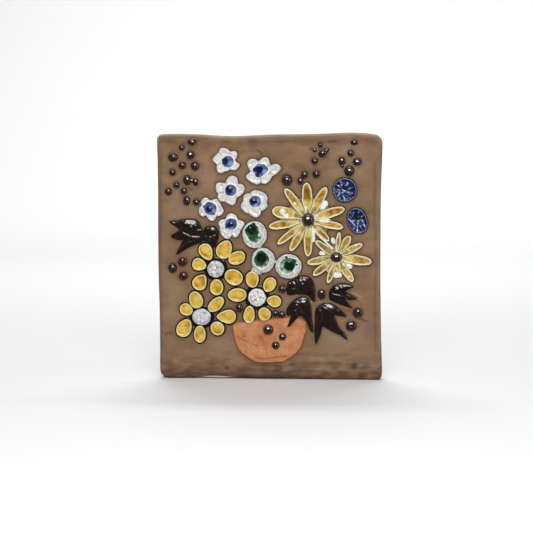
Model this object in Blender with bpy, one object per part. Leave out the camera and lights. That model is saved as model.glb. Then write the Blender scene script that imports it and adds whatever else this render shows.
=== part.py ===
# Ceramic wall plaque: an upright stoneware slab with a pot of flowers in applied, glazed relief.
#
# The slab's back lies in the plane y = 0 and its face looks along -Y, with +Z up. The origin is the
# centre of the back. Every flower, leaf, bead and petal is a pressed piece of clay whose flat back
# rests on the slab. Lengths are in metres, apart from the layout, which is in the layout's units.

import math
import random
from functools import partial

import bmesh
import bpy

# The slab
PLAQUE_WIDTH = 0.268
PLAQUE_HEIGHT = 0.293
SLAB_THICKNESS = 0.022
EDGE_ROUNDING = 0.006
BACK_ROUNDING = 0.0025

# The blind slot in the back that drops over a nail or a screw head
SLOT_WIDTH = 0.044
SLOT_HEIGHT = 0.016
SLOT_DEPTH = 0.012
SLOT_BELOW_TOP = 0.040
SLOT_END_SEGMENTS = 6

# How far the applied pieces stand out, each from what carries it
WHITE_FLOWER_HEIGHT = 0.0046
GREEN_BLOSSOM_HEIGHT = 0.0050
BLUE_BLOSSOM_HEIGHT = 0.0050
STAR_HEIGHT = 0.0046
STAR_CENTRE_HEIGHT = 0.0042
DAISY_PETAL_HEIGHT = 0.0044
DAISY_CENTRE_HEIGHT = 0.0056
DAISY_CENTRE_LUMPS = 0.2  # how far the lumps dip, as a share of the centre's height
LEAF_HEIGHT = 0.0046
POT_THICKNESS = 0.0034
RIM_GAP = 0.0006  # the air round the pieces that the pot's rim is cut back for
POT_EDGE_ROUNDING = 0.0011
BEAD_RISE = 0.52  # a bead's height, as a share of its smaller width
BEAD_SINK = 0.0012  # how deep a bead that is one with the slab is pressed into it

# The raised rims, from the outer edge inwards, and the hollows that hold the glaze
RIM_WIDTH = 0.0012
RIM_SLOPE = 0.0008
WHITE_HOLLOW = 0.0009
EYE_DIP = 0.0009  # how much deeper the middle of a white flower lies
BLOSSOM_RIM_WIDTH = 0.0026
BLOSSOM_RIM_SLOPE = 0.0016
BLOSSOM_HOLLOW = 0.0020
STAR_HOLLOW = 0.0011
DAISY_HOLLOW = 0.0012

# Pieces that only touch keep this much air between them
SEAT_GAP = 0.0003

# The layout is drawn in millimetres on a slab of this size. It spreads over the slab's real width and
# height, and the pieces keep their proportions, at the smaller of the two scales.
LAYOUT_WIDTH = 268.0
LAYOUT_HEIGHT = 293.0
LAYOUT_SHIFT_X = 0.6
LAYOUT_SHIFT_Z = -0.8
UNIT = min(PLAQUE_WIDTH / LAYOUT_WIDTH, PLAQUE_HEIGHT / LAYOUT_HEIGHT)

# The slab was patted out by hand. Each side's points are (share of the side's length, how far the
# edge lies inside the full width or height), going round from the lower left corner.
BOTTOM_EDGE = [(0.12, 0.4), (0.25, 2.8), (0.38, 1.4), (0.55, 0.9), (0.72, 0.6), (0.88, 0.0)]
RIGHT_EDGE = [(0.15, 1.0), (0.30, 1.9), (0.45, 2.4), (0.60, 2.4), (0.76, 2.1), (0.90, 0.9)]
TOP_EDGE = [(0.12, 0.0), (0.30, 1.6), (0.50, 2.4), (0.67, 4.2), (0.85, 1.9)]
LEFT_EDGE = [(0.10, 0.8), (0.25, 1.3), (0.42, 1.2), (0.58, 1.6), (0.72, 2.6), (0.87, 3.0)]
# Each corner: radius, how far in from the side, how far in from the end
CORNERS = {
    "lower_left": (9.5, 3.1, 0.4),
    "lower_right": (6.5, 0.0, 0.0),
    "upper_right": (11.0, 0.6, 1.8),
    "upper_left": (6.8, 0.3, 2.0),
}
CORNER_SEGMENTS = 4
EDGE_SEGMENTS = 3
LEAST_CORNER = 0.0005

# White flowers: the middle of the blue pool, then the outline round it. No two lobes are alike.
WHITE_FLOWERS = [
    {
        "centre": (-49.3, 113.1),
        "outline": [
            (14.4, -3.2), (9.9, 0.2), (9.3, 1.9), (11.6, 7.5), (11.2, 10.6), (8.6, 12.9), (3.4, 12.5),
            (-1.4, 15.6), (-5.5, 16.8), (-9.1, 15.4), (-11.3, 11.3), (-15.9, 6.7), (-18.5, 2.9),
            (-17.6, 0.7), (-13.5, -4.1), (-13.7, -8.6), (-11.5, -13.0), (-7.6, -14.0), (-3.1, -11.9),
            (-0.2, -11.5), (3.1, -9.9), (8.2, -10.5), (12.8, -7.4),
        ],
    },
    {
        "centre": (-10.7, 103.2),
        "outline": [
            (24.7, 1.4), (22.9, 5.3), (19.7, 7.5), (16.2, 7.7), (12.6, 6.2), (9.7, 13.6), (7.5, 15.3),
            (3.2, 14.9), (-2.6, 11.1), (-5.9, 13.0), (-9.9, 13.8), (-13.8, 12.0), (-15.9, 7.7),
            (-14.6, 3.4), (-12.4, -1.8), (-16.0, -5.3), (-17.2, -7.9), (-15.0, -11.8), (-9.9, -15.2),
            (-3.9, -17.2), (0.8, -15.6), (5.5, -16.6), (9.5, -14.6), (12.6, -10.7), (14.0, -7.9),
            (18.6, -5.1), (22.5, -1.4),
        ],
    },
    {
        "centre": (-45.8, 79.3),
        "outline": [
            (16.6, 2.3), (15.0, 6.1), (12.1, 7.9), (9.5, 7.9), (8.5, 12.6), (5.8, 16.4), (1.6, 17.5),
            (-2.6, 16.1), (-5.2, 12.3), (-6.8, 8.9), (-11.6, 9.4), (-16.4, 8.7), (-18.1, 3.9),
            (-17.7, -1.0), (-15.8, -4.2), (-15.8, -9.0), (-13.2, -13.2), (-7.4, -13.9), (-2.6, -16.4),
            (2.3, -18.1), (5.5, -15.8), (7.7, -9.0), (10.3, -7.4), (14.2, -4.5),
        ],
    },
    {
        "centre": (-17.1, 65.7),
        "outline": [
            (15.2, 1.9), (14.4, 6.8), (11.6, 10.4), (7.1, 12.6), (1.0, 14.2), (-3.5, 12.9), (-6.5, 10.6),
            (-10.3, 10.0), (-13.7, 7.1), (-14.5, 1.3), (-17.1, -4.2), (-15.5, -9.0), (-11.3, -13.2),
            (-6.5, -14.8), (-2.9, -17.7), (2.3, -18.7), (6.1, -16.1), (8.1, -11.3), (11.9, -9.0),
            (15.2, -4.8), (14.4, -1.6),
        ],
    },
    {
        "centre": (-69.9, 57.9),
        "outline": [
            (15.8, -2.4), (14.9, 0.4), (12.8, 3.7), (11.5, 6.5), (9.8, 8.3), (7.4, 11.3), (5.0, 11.3),
            (1.9, 10.3), (-1.3, 10.4), (-3.7, 12.5), (-6.9, 12.6), (-10.2, 10.6), (-11.6, 7.1),
            (-11.3, 3.9), (-13.6, 0.4), (-14.2, -3.5), (-13.0, -7.6), (-9.5, -10.0), (-5.0, -9.2),
            (-3.0, -12.5), (0.9, -15.4), (4.8, -14.3), (7.4, -10.2), (11.3, -9.0), (14.5, -6.5),
        ],
    },
    {
        "centre": (-45.7, 38.4),
        "outline": [
            (16.4, 1.7), (13.4, 5.0), (8.9, 6.5), (6.9, 10.2), (3.5, 13.2), (-0.2, 13.9), (-3.9, 12.3),
            (-6.5, 7.6), (-10.4, 6.6), (-13.8, 4.8), (-14.8, 1.3), (-13.6, -2.6), (-13.0, -7.8),
            (-10.6, -13.0), (-6.9, -16.4), (-3.0, -17.0), (-0.4, -15.1), (1.4, -13.0), (3.9, -15.1),
            (7.8, -14.1), (10.4, -10.2), (12.1, -6.7), (14.4, -3.0),
        ],
    },
]

# Round blossoms: centre, half width, half height, lean in degrees
GREEN_BLOSSOMS = [(-17.5, 26.9, 14.8, 16.2, 0), (-7.4, -3.6, 14.0, 15.1, 0), (22.7, -10.5, 15.7, 14.8, 0)]
BLUE_BLOSSOMS = [(88.9, 80.1, 14.3, 14.3, 0), (103.9, 43.9, 12.0, 15.6, 20)]
BLOSSOM_POINTS = 18

# Star flowers: centre, bead's half width and half height, then each petal as (angle, reach, width,
# how far out the notch after it lies), going round with the angle
STAR_FLOWERS = [
    {
        "centre": (45.8, 45.0),
        "bead": (7.7, 8.6),
        "petals": [
            (-45.6, 35.8, 9.0, 27.0),
            (-12.5, 42.7, 10.3, 27.5),
            (16.8, 45.1, 12.0, 29.0),
            (60.6, 43.9, 11.8, 26.5),
            (92.6, 44.0, 13.2, 27.0),
            (126.8, 45.8, 11.0, 27.4),
            (165.2, 44.2, 16.4, 33.6),
            (190.6, 47.3, 11.6, 26.5),
            (219.0, 46.6, 9.2, 29.0),
            (240.6, 42.8, 10.6, 27.0),
            (270.0, 44.0, 11.0, 22.5),
        ],
    },
    {
        "centre": (79.3, 0.8),
        "bead": (7.4, 6.4),
        "petals": [
            (-56.0, 35.3, 10.0, 21.0),
            (-7.6, 42.1, 12.4, 22.0),
            (27.0, 34.6, 9.2, 22.2),
            (57.4, 30.0, 10.8, 22.0),
            (83.6, 30.1, 6.7, 15.2),
            (142.3, 31.2, 9.0, 18.5),
            (191.4, 35.6, 10.0, 22.2),
            (218.4, 35.2, 9.8, 21.6),
            (252.4, 32.8, 8.4, 22.5),
        ],
    },
]
# One side of a star petal: (share of its reach, share of its width from the axis), out to the tip
STAR_PETAL_SIDE = [(0.62, 0.47), (0.84, 0.42), (0.95, 0.26), (1.0, 0.0)]
NOTCH_CLEARANCE = 1.0  # a petal's side starts at least this far outside the notch beside it
NOTCH_DRAW = 1.9  # how much further than its sides a notch moves in, where a rim follows it

# Daisies: centre, centre's half width and half height, then each petal as
# (bearing from the top, distance, width, length, its own turn from the top, how much wider its outer
# end is as a share of its width)
DAISIES = [
    {
        "centre": (-63.9, -14.2),
        "eye": (10.2, 10.2),
        "petals": [
            (-29, 23.1, 15.6, 21.2, -30, 0.22),
            (24, 25.7, 18.0, 23.0, 27, -0.20),
            (62, 28.4, 15.6, 21.0, 68, 0.06),
            (114, 23.4, 18.6, 22.4, 115, 0.04),
            (177, 21.8, 15.9, 19.2, 180, 0.04),
            (230, 24.3, 16.8, 19.9, 212, 0.28),
            (285, 20.3, 14.6, 17.0, 285, 0.18),
        ],
    },
    {
        "centre": (-80.9, -71.4),
        "eye": (11.2, 10.0),
        "petals": [
            (-18, 21.4, 16.2, 21.0, -18, -0.06),
            (49, 23.1, 14.2, 22.8, 48, -0.02),
            (89, 29.4, 15.6, 23.3, 90, 0.38),
            (126, 23.2, 16.2, 17.2, 132, 0.05),
            (186, 20.8, 14.4, 20.6, 180, 0.05),
            (237, 24.6, 17.4, 22.8, 208, 0.14),
            (295, 20.1, 14.4, 16.2, 303, 0.08),
        ],
    },
    {
        "centre": (-14.7, -47.8),
        "eye": (10.7, 10.9),
        "petals": [
            (-15, 22.2, 15.8, 19.4, -6, 0.04),
            (44, 21.4, 14.6, 18.6, 27, 0.10),
            (102, 20.6, 13.8, 17.4, 100, 0.20),
            (156, 21.5, 15.2, 16.0, 145, 0.05),
            (205, 22.3, 13.6, 21.0, 184, 0.12),
            (277, 23.9, 16.2, 22.4, 268, -0.10),
        ],
    },
]
PETAL_POINTS = 12

# Leaves: the point the outline is seen from, then the outline. Tips and notches need points of
# their own, because no two lobes are alike.
LEAVES = {
    "left_leaf_outer": {
        "middle": (-92.2, 28.9),
        "outline": [
            (-118.9, 41.7), (-107.5, 32.2), (-117.0, 24.4), (-109.0, 20.3), (-103.8, 19.9),
            (-110.7, 2.9), (-98.4, 10.1), (-85.2, 15.9), (-79.0, 19.2), (-79.2, 31.0),
            (-81.4, 35.6), (-83.4, 40.2), (-87.2, 43.8), (-93.1, 45.3), (-101.6, 44.9), (-109.0, 43.0),
        ],
    },
    "left_leaf_inner": {
        "middle": (-69.0, 27.1),
        "outline": [
            (-78.2, 32.0), (-78.0, 19.6), (-73.4, 17.3), (-69.3, 14.4), (-65.8, 11.4), (-62.4, 17.0),
            (-60.6, 22.0), (-60.3, 28.4), (-62.0, 33.0), (-65.0, 36.2), (-69.3, 36.9), (-74.0, 36.1),
        ],
    },
    "right_leaf_1": {
        "middle": (38.7, -34.2),
        "outline": [
            (22.3, -29.4), (21.3, -35.5), (21.5, -44.0), (33.1, -43.6), (40.9, -43.9), (46.1, -45.3),
            (50.3, -50.5), (53.7, -52.2), (54.3, -45.3), (53.6, -35.3), (51.8, -28.1), (48.2, -23.8),
            (42.4, -21.7), (35.2, -22.4), (28.9, -26.4),
        ],
    },
    "right_leaf_2": {
        "middle": (38.7, -58.0),
        "outline": [
            (42.4, -46.8), (36.7, -47.2), (30.8, -49.7), (24.4, -55.5), (20.4, -62.7), (20.9, -68.2),
            (25.8, -68.9), (24.4, -73.4), (21.9, -82.9), (27.3, -78.5), (32.4, -72.8), (35.9, -69.1),
            (41.7, -72.8), (44.6, -76.4), (47.5, -84.4), (51.3, -89.1), (51.6, -81.4), (50.1, -72.8),
            (49.7, -62.0), (48.7, -55.5), (46.8, -50.0),
        ],
    },
    "right_leaf_3": {
        "middle": (64.9, -63.3),
        "outline": [
            (67.6, -53.7), (60.1, -56.5), (55.3, -61.3), (54.3, -67.5), (54.3, -76.4), (53.7, -84.4),
            (53.8, -92.9), (55.1, -102.2), (57.6, -98.8), (60.5, -91.5), (63.3, -82.1), (67.6, -83.7),
            (75.6, -87.9), (83.5, -91.5), (92.2, -97.2), (89.3, -90.8), (83.5, -83.7), (79.8, -76.4),
            (77.4, -68.4), (83.5, -68.8), (91.0, -69.9), (87.1, -64.9), (81.4, -59.9), (74.9, -55.5),
        ],
    },
    "right_leaf_4": {
        "middle": (81.5, -41.9),
        "outline": [
            (75.6, -33.9), (71.6, -38.9), (70.6, -43.9), (71.3, -49.0), (75.6, -51.9), (82.1, -54.7),
            (90.7, -57.6), (97.3, -59.5), (92.9, -54.0), (90.0, -49.7), (97.2, -49.7), (102.9, -48.4),
            (97.9, -45.3), (90.7, -39.6), (95.1, -36.4), (99.5, -34.2), (94.4, -31.7), (88.5, -30.6),
            (81.4, -31.3),
        ],
    },
}

# The pot: a rolled-out disc of clay cut to a bowl, from its upper left corner round to its rim
POT_OUTLINE = [
    (-40.6, -77.4), (-44.0, -81.2), (-43.9, -87.0), (-42.4, -96.5), (-39.9, -104.1), (-36.7, -111.1),
    (-30.2, -116.3), (-23.9, -121.4), (-16.2, -125.0), (-8.0, -126.0), (-1.5, -125.2), (8.0, -125.5),
    (16.0, -124.8), (19.8, -122.0), (23.9, -119.5), (30.3, -115.9), (35.3, -110.6), (39.3, -104.1),
    (41.8, -95.2), (44.0, -87.0), (44.4, -81.2), (42.8, -75.4), (32.7, -70.8), (18.4, -71.2), (3.0, -73.2),
    (-17.3, -74.6),
]
POT_MIDDLE = (0.6, -96.0)
POT_BEADS = [(-1.3, -85.6, 12.8, 12.8, 0), (15.7, -94.1, 9.0, 9.0, 0), (7.5, -104.4, 9.6, 9.6, 0)]

# Beads of clay: centre, width, height, lean in degrees. The small ones of the two sprays at the top
# are one with the slab.
LEFT_SPRAY = [
    (-91.9, 136.1, 10.4, 7.4, 0), (-104.0, 129.7, 7.1, 7.1, 0), (-93.7, 121.0, 10.6, 9.9, 0),
    (-114.4, 118.0, 12.1, 10.1, 0), (-103.5, 108.5, 9.4, 8.7, 0), (-88.4, 107.9, 10.6, 10.6, 0),
    (-115.2, 100.1, 8.1, 8.1, 0), (-97.8, 91.2, 9.9, 11.9, 0), (-87.7, 88.8, 6.9, 9.4, 0),
    (-110.4, 85.3, 8.1, 8.1, 0), (-120.0, 77.7, 9.0, 9.0, 0), (-101.7, 78.3, 8.2, 8.2, 0),
    (-98.3, 67.0, 9.0, 11.2, 0), (-87.1, 65.3, 8.4, 8.4, 0),
]
RIGHT_SPRAY = [
    (59.9, 133.0, 6.1, 6.1, 0), (53.1, 126.9, 5.0, 5.0, 0), (62.6, 122.9, 11.4, 8.2, 33),
    (53.3, 114.2, 8.3, 8.3, 0), (55.1, 98.7, 9.2, 9.2, 0), (42.0, 97.8, 8.7, 8.7, 0),
    (36.5, 91.3, 7.4, 10.6, 0), (20.6, 91.7, 13.3, 13.3, 0), (100.0, 135.9, 9.4, 6.5, 0),
    (95.7, 123.4, 8.1, 8.1, 0), (85.4, 114.0, 9.2, 10.7, 0), (103.4, 113.2, 11.1, 8.8, 0),
    (94.2, 102.6, 12.3, 12.3, 0),
]
LOWER_BEADS = [
    (-103.5, -5.8, 11.4, 11.4, 0), (-115.4, -13.3, 10.8, 12.5, 0), (-102.7, -22.6, 10.8, 10.8, 0),
    (-35.8, -60.4, 9.0, 11.6, 0), (15.3, -37.2, 10.1, 10.1, 0), (61.8, -43.6, 9.8, 13.1, 0),
    (104.6, -64.9, 11.9, 11.9, 0), (96.9, -81.0, 13.1, 12.5, 0),
]
# Two beads that ran together beside the pot's rim
TWIN_BEAD = [(7.2, -66.4, 8.2, 8.2, 0), (14.6, -68.1, 8.8, 8.8, 0)]
BEAD_SIDES = 10
SPRAY_BEAD_SIDES = 8

# Every form is drawn lying flat, across and up, and this rotation stands it against the wall
FACING = (math.pi / 2, 0.0, 0.0)
SLAB_FACE_Y = -SLAB_THICKNESS
SEAT_Y = SLAB_FACE_Y - SEAT_GAP
SHARPEST_CORNER = 0.5  # keeps the point of a narrow corner near it when its two edges move out

# Shapes of the forms, as (share of the outline's size, share of the height) from the foot upwards
BEAD_STEPS = [(1.0, 0.34), (0.74, 0.80)]
CENTRE_STEPS = [(1.0, 0.45), (0.86, 0.88), (0.48, 1.0)]
LEAF_STEPS = [(1.0, 0.42), (0.93, 0.84), (0.70, 1.0)]
RIM_FOOT = 0.55  # where a rim starts to round over, as a share of the height


def clear_scene():
    for item in list(bpy.data.objects):
        bpy.data.objects.remove(item, do_unlink=True)


def clay(name, colour, roughness):
    material = bpy.data.materials.new(name)
    material.use_nodes = True
    shader = material.node_tree.nodes["Principled BSDF"]
    shader.inputs["Base Color"].default_value = (*colour, 1.0)
    shader.inputs["Roughness"].default_value = roughness
    shader.inputs["Metallic"].default_value = 0.0
    return material


def place(point):
    # A point of the layout, in metres across and up from the middle of the slab
    x = (point[0] + LAYOUT_SHIFT_X) * PLAQUE_WIDTH / LAYOUT_WIDTH
    z = (point[1] + LAYOUT_SHIFT_Z) * PLAQUE_HEIGHT / LAYOUT_HEIGHT
    return (x, z)


def place_beside(origin, offset):
    # A point that keeps its distance to the point of the layout that it belongs to, on any slab
    x, z = place(origin)
    return (x + offset[0] * UNIT, z + offset[1] * UNIT)


def add_object(name, mesh, material, x=0.0, y=0.0, z=0.0):
    bmesh.ops.recalc_face_normals(mesh, faces=mesh.faces)
    data = bpy.data.meshes.new(name)
    mesh.to_mesh(data)
    mesh.free()
    data.materials.append(material)
    piece = bpy.data.objects.new(name, data)
    bpy.context.scene.collection.objects.link(piece)
    piece.rotation_euler = FACING
    piece.location = (x, y, z)
    return piece


def add_helper(name, mesh, y=0.0):
    bmesh.ops.recalc_face_normals(mesh, faces=mesh.faces)
    data = bpy.data.meshes.new(name)
    mesh.to_mesh(data)
    mesh.free()
    helper = bpy.data.objects.new(name, data)
    bpy.context.scene.collection.objects.link(helper)
    helper.rotation_euler = FACING
    helper.location = (0.0, y, 0.0)
    helper.hide_render = True
    helper.display_type = "WIRE"
    return helper


def combine(piece, helper, operation):
    step = piece.modifiers.new(helper.name, "BOOLEAN")
    step.operation = operation
    step.solver = "EXACT"
    step.use_self = True
    step.object = helper


# Outlines. Each is a list of points across and up, counter-clockwise.

def turned(x, y, angle):
    return (x * math.cos(angle) - y * math.sin(angle), x * math.sin(angle) + y * math.cos(angle))


def ellipse(half_width, half_height, count, lean=0.0, taper=0.0, inset=0.0):
    points = []
    for step in range(count):
        angle = 2 * math.pi * step / count
        up = (half_height - inset) * math.sin(angle)
        across = (half_width - inset) * math.cos(angle) * (1.0 + taper * math.sin(angle))
        points.append(turned(across, up, math.radians(lean)))
    return points


def star(petals, inset=0.0):
    # Long petals with rounded ends and a notch between each two
    points = []
    for index, (angle, reach, width, notch) in enumerate(petals):
        notch_before = petals[index - 1][3]
        sides = [(share, -half, notch_before) for share, half in STAR_PETAL_SIDE]
        sides += [(share, half, notch) for share, half in STAR_PETAL_SIDE[-2::-1]]
        for share, half, beside in sides:
            share = max(share, (beside + NOTCH_CLEARANCE) / reach)
            points.append(turned(share * (reach - inset), half * (width - 2 * inset), math.radians(angle)))
        following = petals[(index + 1) % len(petals)][0] + (360 if index == len(petals) - 1 else 0)
        points.append(turned(notch - NOTCH_DRAW * inset, 0.0, math.radians((angle + following) / 2)))
    return points


def grown(outline, gap):
    # The same outline with its edges moved outwards by the gap
    count = len(outline)
    points = []
    for index, (x, y) in enumerate(outline):
        ahead = outline[(index + 1) % count]
        behind = outline[index - 1]
        first = math.atan2(y - behind[1], x - behind[0]) - math.pi / 2
        second = math.atan2(ahead[1] - y, ahead[0] - x) - math.pi / 2
        out_x = math.cos(first) + math.cos(second)
        out_y = math.sin(first) + math.sin(second)
        reach = 2 * gap / max(out_x**2 + out_y**2, SHARPEST_CORNER)
        points.append((x + out_x * reach, y + out_y * reach))
    return points


def moved_in(outline, inset):
    return grown(outline, -inset)


def scaled(points, middle=(0.0, 0.0)):
    return [((x - middle[0]) * UNIT, (y - middle[1]) * UNIT) for x, y in points]


def slab_outline(inset=0.0):
    # The slab's edge seen from the front, or the same edge moved in where it rounds over
    half_width = PLAQUE_WIDTH / 2 - inset
    half_height = PLAQUE_HEIGHT / 2 - inset
    points = []

    def corner(name, side_x, side_z, start):
        radius, in_side, in_end = (value * UNIT for value in CORNERS[name])
        radius = max(radius - inset, LEAST_CORNER)
        centre_x = side_x * (half_width - in_side - radius)
        centre_z = side_z * (half_height - in_end - radius)
        for step in range(CORNER_SEGMENTS + 1):
            angle = math.radians(start + 90 * step / CORNER_SEGMENTS)
            points.append((centre_x + radius * math.cos(angle), centre_z + radius * math.sin(angle)))

    def across(share):
        return (share - 0.5) * PLAQUE_WIDTH

    def up(share):
        return (share - 0.5) * PLAQUE_HEIGHT

    corner("lower_left", -1, -1, 180)
    points += [(across(share), -half_height + dip * UNIT) for share, dip in BOTTOM_EDGE]
    corner("lower_right", 1, -1, 270)
    points += [(half_width - dip * UNIT, up(share)) for share, dip in RIGHT_EDGE]
    corner("upper_right", 1, 1, 0)
    points += [(-across(share), half_height - dip * UNIT) for share, dip in TOP_EDGE]
    corner("upper_left", -1, 1, 90)
    points += [(-half_width + dip * UNIT, -up(share)) for share, dip in LEFT_EDGE]
    return points


def slab_profile():
    # How far in the edge lies and how far from the back: a small round at the back, a wide one in front
    steps = [(0.0, BACK_ROUNDING)]
    for step in range(EDGE_SEGMENTS + 1):
        angle = math.pi / 2 * step / EDGE_SEGMENTS
        inset = EDGE_ROUNDING * (1 - math.cos(angle))
        steps.append((inset, SLAB_THICKNESS - EDGE_ROUNDING * (1 - math.sin(angle))))
    return steps


# Forms. Each starts from a flat outline in its own plane and is raised towards the viewer.

def outline_face(mesh, outline, height=0.0):
    corners = [mesh.verts.new((x, y, height)) for x, y in outline]
    return mesh.faces.new(corners)


def loft_up(mesh, face, outline, height):
    # The face moves up and takes another outline with as many points
    face = extrude_up(mesh, face, height)
    for corner, (x, y) in zip(face.verts, outline):
        corner.co.x = x
        corner.co.y = y
    return face


def extrude_up(mesh, face, height):
    # A face that already closes a form moves up; the first face of a form stays as its back
    closes_a_form = len(face.edges[0].link_faces) > 1
    result = bmesh.ops.extrude_face_region(mesh, geom=[face])
    if closes_a_form:
        bmesh.ops.delete(mesh, geom=[face], context="FACES_ONLY")
    corners = [item for item in result["geom"] if isinstance(item, bmesh.types.BMVert)]
    bmesh.ops.translate(mesh, verts=corners, vec=(0.0, 0.0, height))
    return next(item for item in result["geom"] if isinstance(item, bmesh.types.BMFace))


def stepped(mesh, outline, height, steps, base=0.0, centre=(0.0, 0.0)):
    # Rings that shrink towards the centre, closed by one point at the full height
    face = outline_face(mesh, [(x + centre[0], y + centre[1]) for x, y in outline], base)
    size = 1.0
    level = base
    for share, rise in steps:
        face = extrude_up(mesh, face, rise * height - level)
        level = rise * height
        for corner in face.verts:
            corner.co.x = centre[0] + (corner.co.x - centre[0]) * share / size
            corner.co.y = centre[1] + (corner.co.y - centre[1]) * share / size
        size = share
    peak = bmesh.ops.poke(mesh, faces=[face])["verts"][0]
    peak.co = (centre[0], centre[1], height)
    return peak


def rimmed(outline_at, height, rim, slope, hollow, floor):
    # A wall, a raised rim and a hollow inside it, whose middle lies at the floor's height.
    # outline_at gives the outline, in the layout's units, moved in by a width in the same units.
    mesh = bmesh.new()
    face = outline_face(mesh, scaled(outline_at(0.0)))
    level = 0.0
    for inset, rise in ((0.0, height * RIM_FOOT), (rim, height), (rim + slope, height - hollow)):
        face = loft_up(mesh, face, scaled(outline_at(inset / UNIT)), rise - level)
        level = rise
    middle = bmesh.ops.poke(mesh, faces=[face])["verts"][0]
    middle.co = (0.0, 0.0, floor)
    return mesh


def bead_mesh(beads, places, sides, base=0.0, origin=(0.0, 0.0)):
    mesh = bmesh.new()
    for (_, _, width, height, lean), (x, z) in zip(beads, places):
        outline = scaled(ellipse(width / 2, height / 2, sides, lean))
        centre = (x - origin[0], z - origin[1])
        stepped(mesh, outline, BEAD_RISE * min(width, height) * UNIT, BEAD_STEPS, base, centre)
    return mesh


def petal_outline(width, length, turn, taper, inset=0.0):
    return ellipse(width / 2, length / 2, PETAL_POINTS, -turn, taper, inset)


def petal_place(daisy, bearing, distance):
    angle = math.radians(bearing)
    return place_beside(daisy["centre"], (distance * math.sin(angle), distance * math.cos(angle)))


def twin_places():
    first = TWIN_BEAD[0]
    return [place_beside(first, (bead[0] - first[0], bead[1] - first[1])) for bead in TWIN_BEAD]


# The pieces

def make_slab(material):
    mesh = bmesh.new()
    face = outline_face(mesh, slab_outline(BACK_ROUNDING))
    level = 0.0
    for inset, height in slab_profile():
        face = loft_up(mesh, face, slab_outline(inset), height - level)
        level = height
    slab = add_object("slab", mesh, material)

    slot = bmesh.new()
    ends = SLOT_HEIGHT / 2
    run = SLOT_WIDTH / 2 - ends
    z = PLAQUE_HEIGHT / 2 - SLOT_BELOW_TOP
    outline = []
    for side, start in ((1, -90), (-1, 90)):
        for step in range(SLOT_END_SEGMENTS + 1):
            angle = math.radians(start + 180 * step / SLOT_END_SEGMENTS)
            outline.append((side * run + ends * math.cos(angle), z + ends * math.sin(angle)))
    extrude_up(slot, outline_face(slot, outline, -SLOT_DEPTH), 2 * SLOT_DEPTH)
    combine(slab, add_helper("hanging_slot_cutter", slot), "DIFFERENCE")

    beads = LEFT_SPRAY + RIGHT_SPRAY
    sprays = bead_mesh(beads, [place(bead) for bead in beads], SPRAY_BEAD_SIDES, -BEAD_SINK)
    combine(slab, add_helper("spray_beads", sprays, SLAB_FACE_Y), "UNION")


def make_pot(material):
    middle = place(POT_MIDDLE)
    outline = scaled(POT_OUTLINE, POT_MIDDLE)
    mesh = bmesh.new()
    face = extrude_up(mesh, outline_face(mesh, outline), POT_THICKNESS - POT_EDGE_ROUNDING)
    bmesh.ops.inset_region(
        mesh, faces=[face], thickness=POT_EDGE_ROUNDING, depth=POT_EDGE_ROUNDING, use_even_offset=True
    )
    pot = add_object("flowerpot", mesh, material, middle[0], SEAT_Y, middle[1])

    # The neighbours that were pressed over its rim leave their shapes in it
    leaf = LEAVES["right_leaf_2"]
    neighbours = [(place(leaf["middle"]), scaled(leaf["outline"], leaf["middle"]))]
    for daisy, index in ((DAISIES[1], 2), (DAISIES[2], 3), (DAISIES[2], 4)):
        bearing, distance, *shape = daisy["petals"][index]
        shape = scaled(petal_outline(*shape))
        neighbours.append((petal_place(daisy, bearing, distance), shape))
    for (_, _, width, height, lean), centre in zip(TWIN_BEAD, twin_places()):
        neighbours.append((centre, scaled(ellipse(width / 2, height / 2, BEAD_SIDES, lean))))
    for index, (centre, shape) in enumerate(neighbours):
        cutter = bmesh.new()
        around = [(x + centre[0], y + centre[1]) for x, y in grown(shape, RIM_GAP)]
        extrude_up(cutter, outline_face(cutter, around, -POT_THICKNESS), 3 * POT_THICKNESS)
        combine(pot, add_helper(f"rim_cutter_{index + 1}", cutter, SEAT_Y), "DIFFERENCE")


def make_pot_beads(material):
    y = SEAT_Y - POT_THICKNESS - SEAT_GAP
    for index, bead in enumerate(POT_BEADS):
        origin = place(bead)
        mesh = bead_mesh([bead], [origin], BEAD_SIDES, 0.0, origin)
        add_object(f"pot_bead_{index + 1}", mesh, material, origin[0], y, origin[1])


def make_lower_beads(material):
    for index, bead in enumerate(LOWER_BEADS):
        origin = place(bead)
        mesh = bead_mesh([bead], [origin], BEAD_SIDES, 0.0, origin)
        add_object(f"bead_{index + 1}", mesh, material, origin[0], SEAT_Y, origin[1])
    origin, beside = twin_places()
    mesh = bead_mesh(TWIN_BEAD[:1], [origin], BEAD_SIDES, 0.0, origin)
    twin = add_object("twin_bead", mesh, material, origin[0], SEAT_Y, origin[1])
    right = bead_mesh(TWIN_BEAD[1:], [beside], BEAD_SIDES)
    combine(twin, add_helper("twin_bead_right", right, SEAT_Y), "UNION")


def make_white_flowers(material):
    for index, flower in enumerate(WHITE_FLOWERS):
        outline_at = partial(moved_in, flower["outline"])
        floor = WHITE_FLOWER_HEIGHT - WHITE_HOLLOW - EYE_DIP
        mesh = rimmed(outline_at, WHITE_FLOWER_HEIGHT, RIM_WIDTH, RIM_SLOPE, WHITE_HOLLOW, floor)
        x, z = place(flower["centre"])
        add_object(f"white_flower_{index + 1}", mesh, material, x, SEAT_Y, z)


def make_blossoms(name, blossoms, height, material):
    for index, (x, z, half_width, half_height, lean) in enumerate(blossoms):
        outline_at = partial(ellipse, half_width, half_height, BLOSSOM_POINTS, lean, 0.0)
        floor = height - BLOSSOM_HOLLOW
        mesh = rimmed(outline_at, height, BLOSSOM_RIM_WIDTH, BLOSSOM_RIM_SLOPE, BLOSSOM_HOLLOW, floor)
        x, z = place((x, z))
        add_object(f"{name}_{index + 1}", mesh, material, x, SEAT_Y, z)


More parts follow.
